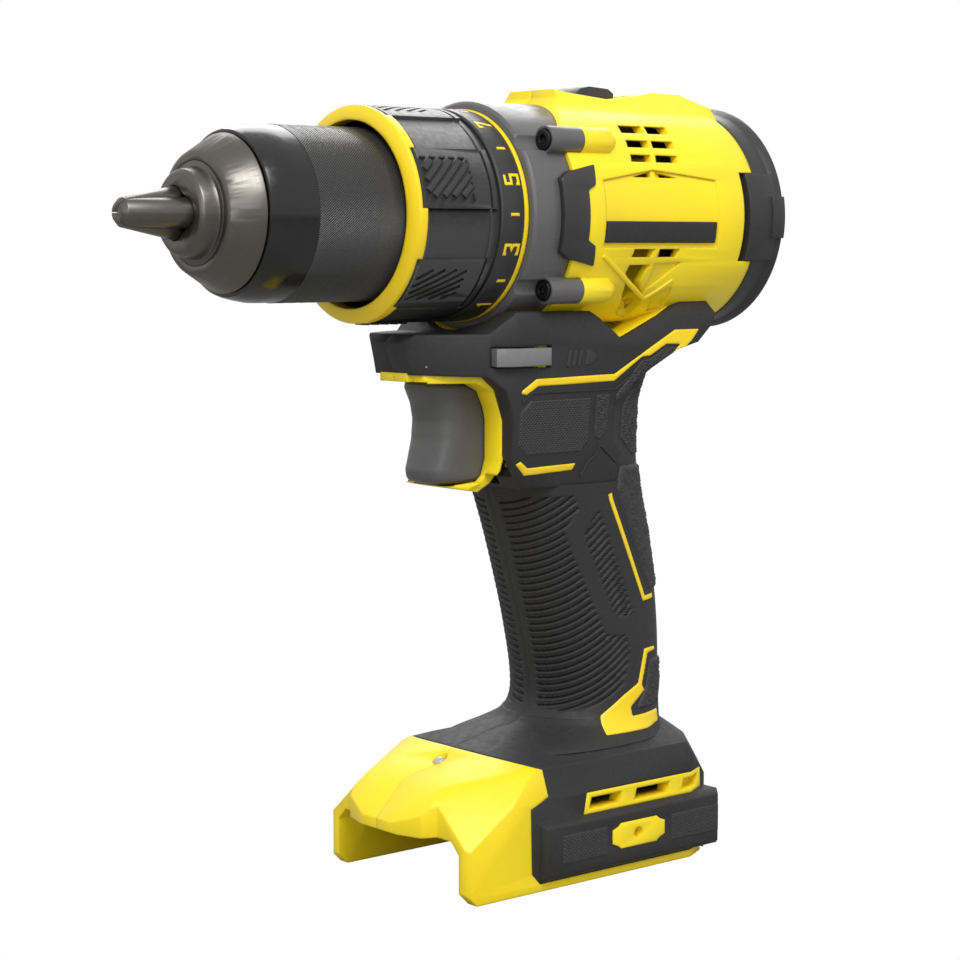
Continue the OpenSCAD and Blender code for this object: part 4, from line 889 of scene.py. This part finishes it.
# Outlines on the handle's side
HANDLE_LINE = [(25.3, -72.8), (25.8, -74.6), (38.9, -102.2), (43.4, -102)]
HANDLE_HEEL = [
    (38.7, -115.7), (36, -124.8), (30.9, -127.3), (23.2, -132.3), (22.1, -136.9), (38.2, -137.2),
    (45, -136.4), (45, -133), (33.4, -133.3), (33.2, -130.9), (38.6, -127), (37.6, -125.4),
    (40.2, -117.2), (44, -117), (44, -115.7),
]
REAR_PADS = (
    [(29.5, -66), (27.8, -72), (31, -79), (41, -100), (44, -100.5), (48, -100), (45, -84), (42.4, -70),
     (41, -66)],
    [(41, -119), (38.9, -126.2), (35.5, -130.9), (35.6, -132), (45, -131.6), (48, -126), (48, -119)],
)


class HandleMarks(bpy.types.Operator):
    """Adds the bright lines and the stippled pads of the handle"""

    bl_idname = "drill.handle_marks"
    bl_label = "Handle lines and pads"

    def execute(self, context):
        for side, word in SIDES:
            spot = handle_spot(side)
            line = bar(word + "_handle_line", spot, HANDLE_LINE, 1.3, 0.25, steps=12)
            dressed(line, "accent_yellow", "housing")
            heel = relief(word + "_handle_heel", spot, HANDLE_HEEL, 0.45, plateau(0.25, 0.4))
            smooth(heel, 40)
            dressed(heel, "accent_yellow", "housing")
            top = plateau(0.55, 0.7, stippled)
            pad = joined(word + "_rear_pads", *[relief("pad", spot, o, 0.4, top) for o in REAR_PADS])
            smooth(pad, 40)
            # The pads take the lighter rubber, whose extra brightness is painted sheen
            dressed(pad, "fine_grip", "housing")
        return {"FINISHED"}


# Outlines on the shoulder's side
UPPER_LINE = [
    (-7.4, -45), (-7.1, -44.2), (-2.6, -41.4), (24.4, -41), (35.1, -35.3), (45.9, -29.9), (55, -29.9),
    (52.3, -32.9), (48.1, -36), (43.3, -37.1), (46, -35.4), (48, -33.8), (42.6, -33.7), (36.8, -36.6),
    (33.9, -36.8), (24.4, -42.9), (-1.9, -43.3), (-5.6, -45.4),
]
LOWER_LINE = [(-7.4, -63.2), (-5.8, -62.5), (-3, -64.4), (13.4, -64), (12.6, -65.8), (-3.7, -66.4)]
CROSSED_FIELD = [
    (-7.4, -50), (-4, -46.9), (16.7, -46.9), (16.7, -58.4), (13.9, -61.1), (-4.4, -61.1), (-7.4, -58.4),
]
STIPPLED_FIELDS = (
    [(18.6, -46.2), (23.2, -46.2), (23, -56), (20.6, -58.4), (18.6, -57)],
    [(33.9, -37.8), (36.8, -37.4), (42.6, -34.4), (47.2, -34.4), (45.4, -35.8), (42.2, -37.6), (36.8, -39.8),
     (30.7, -44.4), (27.1, -47.8), (25.5, -48.2), (25.5, -46.6)],
    [(29.7, -50), (33.7, -45.7), (37, -42.5), (46, -40), (46, -63.2), (36, -63.5), (32.7, -61.1),
     (29.4, -58.5)],
)
ARROW = [(13.6, -38.4), (15.2, -38.4), (17.9, -36.4), (15.6, -34.4), (14.2, -34.4)]
FRAMES = (
    [(-6.8, -47.4), (-3.6, -45), (25.2, -45), (34.6, -38.9)],
    [(15, -67.6), (17.6, -63.6), (19.6, -62.6), (21.2, -59.6), (27.6, -64.6)],
)


class Shoulder(bpy.types.Operator):
    """Adds the lines, the grip fields and the arrow of the shoulder"""

    bl_idname = "drill.shoulder"
    bl_label = "Shoulder"

    def execute(self, context):
        for side, word in SIDES:
            spot = side_spot(side, bpy.data.objects[word + "_rubber"])
            lines = joined(word + "_lines", *[
                relief("line", spot, outline, 0.3, plateau(0.25, 0.3)) for outline in (UPPER_LINE, LOWER_LINE)
            ])
            smooth(lines, 40)
            dressed(lines, "accent_yellow", "housing")
            field = relief(word + "_grip_field", spot, CROSSED_FIELD, 0.2, plateau(0.2, 0.4, crossed))
            top = plateau(0.3, 0.4, stippled)
            grain = joined("stipple", *[relief("stipple", spot, o, 0.3, top) for o in STIPPLED_FIELDS])
            arrow = relief(word + "_arrow", spot, ARROW, 0.25, plateau(0.3, 0.3))
            stripes = bars(
                "stripes", spot, [[(7.6 + 1.9 * k, -38.4), (8.4 + 1.9 * k, -34.4)] for k in range(3)],
                1.0, 0.3, steps=3,
            )
            marks = joined(word + "_shoulder_marks", field, grain, arrow, stripes)
            smooth(marks, 25)
            # The fields, arrow and stripes take the lighter rubber, whose extra brightness is painted sheen
            dressed(marks, "fine_grip", "housing")
            edges = bars(word + "_shoulder_edges", spot, FRAMES, 0.6, 0.3, steps=8)
            dressed(edges, "soft_grip", "housing")
        return {"FINISHED"}


BUMPER_FIELDS = ((-1.7, 14, -166, -158.2), (37, 55, -165.9, -158.6))


class Foot(bpy.types.Operator):
    """Adds the crossed grip fields of the side bumpers"""

    bl_idname = "drill.foot"
    bl_label = "Battery foot"

    def execute(self, context):
        for side, word in SIDES:
            spot = side_spot(side, bpy.data.objects[word + "_rubber"])
            top = plateau(0.15, 0.4, crossed)
            fields = [
                relief("field", spot, [(x0, z0), (x1, z0), (x1, z1), (x0, z1)], 0.2, top)
                for x0, x1, z0, z1 in BUMPER_FIELDS
            ]
            field = joined(word + "_bumper_fields", *fields)
            smooth(field, 25)
            # The bumper fields take the lighter rubber, whose extra brightness is painted sheen
            dressed(field, "fine_grip", "housing")
        return {"FINISHED"}


# The trigger lever: height and place of its front, its rear, its edge radius and its rows of points
LEVER_NOSE = (
    (-42.2, -26.0), (-44, -25.4), (-48, -23.3), (-52, -22.4), (-57, -22.8), (-62, -24.2), (-65, -25.1),
    (-68.4, -24.6),
)
LEVER_REAR = -8.8
LEVER_EDGE = 1.8
LEVER_ROWS = 40
LEVER_FIELD = [(-40, -80), (-9.2, -80), (-9.2, -30), (-40, -30)]  # all of it in front of the rod


def lever_front(z):
    """Where the trigger lever's front lies at a height."""
    for (z0, x0), (z1, x1) in zip(LEVER_NOSE, LEVER_NOSE[1:]):
        if z >= z1:
            t = (z0 - z) / (z0 - z1)
            return mix(x0, x1, t * t * (3 - 2 * t) if abs(x1 - x0) < 0.5 else t)
    return LEVER_NOSE[-1][1]


class Controls(bpy.types.Operator):
    """Shapes the trigger, the direction button and the speed selector"""

    bl_idname = "drill.controls"
    bl_label = "Trigger and switches"

    def execute(self, context):
        low, high = local_box("trigger")
        half = (high.y - low.y) / 2

        def place(u, w):
            if w in (0.0, 1.0):
                return at(-17, 0, low.z if w == 0 else high.z)
            level = (w * LEVER_ROWS - 1) / (LEVER_ROWS - 2)
            edge = min(level, 1 - level) * (high.z - low.z)
            inset = LEVER_EDGE - math.sqrt(max(0.0, LEVER_EDGE**2 - max(0.0, LEVER_EDGE - edge) ** 2))
            z = mix(low.z, high.z, level)
            turn = 2 * math.pi * u
            c, q = math.cos(turn), math.sin(turn)
            flat = half - inset
            if c >= 0:
                return at(LEVER_REAR, flat * max(-1, min(1, math.copysign(abs(q) ** 0.8, q))), z)
            reach = LEVER_REAR - 4 - (lever_front(z) + inset)
            return at(LEVER_REAR - 4 - reach * abs(c) ** 0.62, flat * math.copysign(abs(q) ** 0.72, q), z)

        finger = surface("trigger_lever", 72, LEVER_ROWS, place, closed=True)
        smooth(finger, 50)
        dressed(finger, "trigger_grey", "trigger")
        rod = copied("trigger_rod", "trigger")
        carve(rod, side_slab("cut", LEVER_FIELD, -20, 20))
        dressed(rod, "trigger_grey", "trigger")
        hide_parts("trigger")

        low, high = local_box("direction_button")
        edge = [
            (low.x, high.y - 3), (low.x - 0.4, high.y - 2.2), (low.x + 4, high.y), (high.x - 2.4, high.y),
            (1.5, high.y - 0.9), (1.5, 22.1), (high.x, 22.1),
        ]
        edge += [(x, -y) for x, y in reversed(edge)]
        button = slab(
            "direction_lever", [at(x, y, low.z) for x, y in edge], Vector((0, 0, (high.z - low.z) * MM)),
        )
        rounded(button, 0.5)
        dressed(button, "lever_grey", "direction_button")
        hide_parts("direction_button")

        refined("selector_knob", "speed_selector", 0.4, "black_plastic", "selector")
        return {"FINISHED"}


# Strokes of the square dial figures on a unit box
DIGITS = {
    1: [(0.2, 0.8), (0.55, 1), (0.55, 0)],
    3: [(0, 0.85), (0, 1), (1, 1), (1, 0.6), (0.5, 0.5), (1, 0.4), (1, 0), (0, 0), (0, 0.15)],
    5: [(1, 1), (0, 1), (0, 0.55), (1, 0.55), (1, 0), (0, 0), (0, 0.2)],
    7: [(0, 0.75), (0, 1), (1, 1), (0.35, 0)],
    9: [(1, 0.45), (0, 0.45), (0, 1), (1, 1), (1, 0), (0, 0), (0, 0.2)],
}
DIAL = ((1,), (3,), (5,), (7,), (9,), (1, 1), (1, 3), (1, 5))
DIAL_START, DIAL_STEP = -56, 37.4  # degrees
DIAL_R = 27.0
DIGIT_WIDTH, DIGIT_HEIGHT, DIGIT_GAP = 2.3, 4.2, 1.5
COLLAR_R = 27.3
SLIT_FIELDS = (79.5, -40.5, 199.5)  # degrees from the near side
RIB_PANELS = (19.5, 139.5, 259.5)


def slanting(middle, pitch, slope, x0, x1, below, above):
    """Slanting lines a pitch apart, clipped to a field of the collar round an angle in degrees."""
    arc = math.radians(middle) * COLLAR_R
    box = (x0, x1, arc - below, arc + above)
    lines = [clipped(-34.5 + pitch * k, arc, slope, box) for k in range(-5, 6)]
    return [line for line in lines if line]


def ring_box(node):
    """Front and rear of a ring-shaped CAD node."""
    low, high = local_box(node)
    return low.x, high.x


def slit_cutter(spot, path):
    """A closed ridge along a path, to be cut out of the collar."""
    cutter = bar("slit", spot, path, 0.9, 1.0, edge=0.02, depth=0.8, steps=5)
    edit(cutter, "DESELECT")
    bpy.ops.mesh.select_non_manifold()
    bpy.ops.mesh.edge_face_add()
    leave()
    return facing_out(cutter)


class Collar(bpy.types.Operator):
    """Finishes the torque collar with its grip fields, grooves, rings and numbers"""

    bl_idname = "drill.collar"
    bl_label = "Torque collar"

    def execute(self, context):
        shell = copied("collar_shell", "torque_collar")
        grooves = [
            ring("groove", [(x - 0.35, 26.3), (x + 0.35, 26.3), (x + 0.5, 30), (x - 0.5, 30)], 96)
            for x in (-22.0, -19.6)
        ]
        carve(shell, *grooves)
        spot = round_spot(COLLAR_R)
        slits = [
            path for middle in SLIT_FIELDS for path in slanting(middle, 3.7, 0.62, -42, -27, 4.6, 5)
        ]
        carve(shell, joined("slits", *[slit_cutter(spot, path) for path in slits]))
        rounded(shell, 0.25, 30)
        dressed(shell, "black_plastic", "collar")
        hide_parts("torque_collar")

        ribs, dashes = [], []
        for middle in RIB_PANELS:
            ribs += slanting(middle, 3, 0.93, -41.6, -28, 5, 4.2)
            arc = math.radians(middle) * COLLAR_R
            dashes += [[(x, arc + 5.1), (x + 1.7, arc + 5.1)] for x in (-42, -39, -36, -33, -30)]
            for k in range(4):
                x, start = -27.6 + 0.05 * k, arc + 4.6 - 2.9 * k
                dashes.append([(x, start), (x, start - 1.7)])
        border = bars("collar_dashes", spot, dashes, 0.55, 0.12, edge=0.05, steps=2)
        dressed(border, "switch_black", "collar")
        hatch = bars("collar_ribs", spot, ribs, 1.9, 0.22, edge=0.5, steps=5)
        smooth(hatch, 40)
        dressed(hatch, "black_plastic", "collar")

        refined("collar_rim", "collar_front_ring", 0.35, "accent_yellow", "collar", 25)

        front, rear = ring_box("number_ring")
        band = ring("number_band", [
            (front, 25.2), (front, 26.6), (front + 0.4, DIAL_R), (rear - 0.2, DIAL_R), (rear, 26.9),
            (rear, 25.2),
        ])
        dressed(band, "black_plastic", "collar")
        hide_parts("number_ring")
        front, rear = ring_box("index_ring")
        thin = ring("index_band", [
            (front, 25.2), (front, 27), (front + 0.15, 27.15), (rear - 0.15, 27.15), (rear, 27), (rear, 25.2),
        ])
        dressed(thin, "accent_yellow", "collar")
        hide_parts("index_ring")

        marks = []
        for k, figures in enumerate(DIAL):
            middle = math.radians(DIAL_START + DIAL_STEP * k) * DIAL_R
            tick = middle + math.radians(DIAL_STEP / 2) * DIAL_R
            marks.append([(-16.0, tick), (-13.3, tick)])
            for n, figure in enumerate(figures):
                shift = (n - (len(figures) - 1) / 2) * (DIGIT_WIDTH + DIGIT_GAP)
                marks.append([
                    (-12.6 - DIGIT_HEIGHT * v, middle + shift + DIGIT_WIDTH * (h - 0.5))
                    for h, v in DIGITS[figure]
                ])
        numbers = bars("dial_marks", round_spot(DIAL_R), marks, 0.8, 0.12, edge=0.06, steps=2)
        dressed(numbers, "accent_yellow", "collar")
        return {"FINISHED"}


SLEEVE_R = 21.4
KNURL_START = -69.9
KNURL_RISE = 24  # how far a ridge climbs round the sleeve


class Chuck(bpy.types.Operator):
    """Turns and knurls the chuck's sleeve and rounds its steel pieces"""

    bl_idname = "drill.chuck"
    bl_label = "Chuck"

    def execute(self, context):
        front, rear = ring_box("chuck_sleeve")
        sleeve = ring("chuck_grip", [
            (front, 18.4), (front, 19.5), (front + 0.25, 19.9), (front + 1.5, 20.35), (front + 3.6, 20.85),
            (front + 6.5, SLEEVE_R - 0.06), (front + 8.5, SLEEVE_R), (rear - 0.4, SLEEVE_R),
            (rear, SLEEVE_R - 0.4), (rear, 18.4),
        ])
        path = [(mix(KNURL_START, rear - 0.6, k / 9), KNURL_RISE * k / 9) for k in range(10)]
        knurl = bar("sleeve_knurl", round_spot(SLEEVE_R), path, 0.36, 0.14, edge=0.12, depth=0.1, steps=1)
        ridges = context.scene.drill_sizes.ridges
        repeated(knurl, ridges, 360 / ridges)
        smooth(knurl, 30)
        # The lighter grey on the ridges paints the highlight that the knurl catches
        dressed(knurl, "knurl_grey", "sleeve")
        dressed(sleeve, "sleeve_black", "sleeve")
        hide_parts("chuck_sleeve")
        refined("chuck_nose", "chuck_body", 0.4, "chuck_steel", "spindle", 30)
        refined("chuck_cone", "chuck_front_ring", 0.3, "chuck_steel", "spindle", 30)
        for k in (1, 2, 3):
            refined(f"jaw_steel_{k}", f"jaw_{k}", 0.15, "chuck_steel", f"jaw_{k}", 30)
        return {"FINISHED"}


class GearCase(bpy.types.Operator):
    """Rounds the gear case, the side pads, the case screws and the rear cap"""

    bl_idname = "drill.gear_case"
    bl_label = "Gear case and rear cap"

    def execute(self, context):
        refined("case_shell", "gear_case", context.scene.drill_sizes.edge / MM, "case_grey", "housing")
        for _, word in SIDES:
            refined(word + "_pad", word + "_side_pad", 0.45, "black_plastic", "housing")
        refined("case_bolts", "case_screws", 0.25, "black_steel", "housing")
        refined("cap_shell", "rear_cap", 0.6, "black_plastic", "housing", 30)
        return {"FINISHED"}


LAMPS = (  # name, watts, size, place and aim in metres
    ("key", 6.2, 0.45, (-0.30, -0.60, 0.85), (0.02, 0, 0.12)),
    ("fill", 1.4, 0.5, (-0.75, -0.75, 0.42), (0.0, 0, 0.12)),
    ("back", 4.0, 0.6, (0.5, 0.55, 0.7), (0.02, 0, 0.14)),
)
WORLD_LIGHT = 0.8  # strength on the object; the camera sees 1
CAMERA_PLACE = (-390.2, -464.6, -7.4)
CAMERA_DOWN, CAMERA_TURN = 5.80, 39.77  # degrees
CAMERA_LENS = 86.84


class Stage(bpy.types.Operator):
    """Adds the floor, the lamps, the surroundings and the camera"""

    bl_idname = "drill.stage"
    bl_label = "Stage"

    def execute(self, context):
        scene = context.scene
        scene.view_settings.view_transform = "Standard"
        floor_z = CAD_BOX[0].z
        bpy.ops.object.select_all(action="DESELECT")
        bpy.ops.mesh.primitive_plane_add(size=6, location=(0, 0, floor_z - 0.0002))
        floor = context.view_layer.objects.active
        floor.name = "floor"
        paint = Finish("floor", (0.30, 0.30, 0.30), 0.75, specular=0.2)
        glow = paint.add("ShaderNodeEmission", Color=(1, 1, 1, 1), Strength=1.0)
        blend = paint.add("ShaderNodeMixShader")
        path = paint.add("ShaderNodeLightPath")
        output = paint.tree.nodes["Material Output"]
        paint.link(path.outputs["Is Camera Ray"], blend.inputs[0])
        paint.link(paint.shader.outputs[0], blend.inputs[1])
        paint.link(glow.outputs[0], blend.inputs[2])
        paint.link(blend.outputs[0], output.inputs["Surface"])
        floor.data.materials.append(paint.material)

        world = bpy.data.worlds.new("studio")
        scene.world = world
        world.use_nodes = True
        tree = world.node_tree
        background = tree.nodes["Background"]
        background.inputs["Color"].default_value = (1, 1, 1, 1)
        light_path = tree.nodes.new("ShaderNodeLightPath")
        strength = tree.nodes.new("ShaderNodeMapRange")
        strength.inputs["To Min"].default_value = WORLD_LIGHT
        strength.inputs["To Max"].default_value = 1.0
        tree.links.new(light_path.outputs["Is Camera Ray"], strength.inputs["Value"])
        tree.links.new(strength.outputs["Result"], background.inputs["Strength"])

        for name, energy, size, spot, aim in LAMPS:
            bpy.ops.object.light_add(type="AREA", location=spot)
            lamp = context.view_layer.objects.active
            lamp.name = name
            lamp.data.energy = energy
            lamp.data.size = size
            lamp.rotation_euler = (Vector(aim) - Vector(spot)).to_track_quat("-Z", "Y").to_euler()

        bpy.ops.object.camera_add(location=at(*CAMERA_PLACE))
        camera = context.view_layer.objects.active
        camera.rotation_euler = (math.radians(90 - CAMERA_DOWN), 0, math.radians(-CAMERA_TURN))
        camera.data.lens = CAMERA_LENS
        camera.data.sensor_width = 36
        camera.data.clip_start = 0.01
        scene.camera = camera
        return {"FINISHED"}


class DrillPanel(bpy.types.Panel):
    """Lists the sizes, the colours and the pieces"""

    bl_label = "Cordless drill"
    bl_idname = "VIEW3D_PT_drill"
    bl_space_type = "VIEW_3D"
    bl_region_type = "UI"
    bl_category = "Drill"

    def draw(self, context):
        for settings in (context.scene.drill_colours, context.scene.drill_sizes):
            for key in settings.bl_rna.properties.keys():
                if key not in {"rna_type", "name"}:
                    self.layout.prop(settings, key)
        for operator in OPERATORS:
            self.layout.operator(operator.bl_idname)


OPERATORS = (
    PaintNodes, Housing, Grips, HandleSkin, HandleMarks, Shoulder, Foot, Controls, Collar, Chuck, GearCase,
    Stage,
)
CLASSES = (DrillColours, DrillSizes, *OPERATORS, DrillPanel)


def register():
    for kind in CLASSES:
        bpy.utils.register_class(kind)
    bpy.types.Scene.drill_colours = bpy.props.PointerProperty(type=DrillColours)
    bpy.types.Scene.drill_sizes = bpy.props.PointerProperty(type=DrillSizes)


def unregister():
    del bpy.types.Scene.drill_sizes
    del bpy.types.Scene.drill_colours
    for kind in reversed(CLASSES):
        bpy.utils.unregister_class(kind)


def main():
    register()
    for operator in OPERATORS:
        group, action = operator.bl_idname.split(".")
        getattr(getattr(bpy.ops, group), action)()


if __name__ == "__main__":
    main()
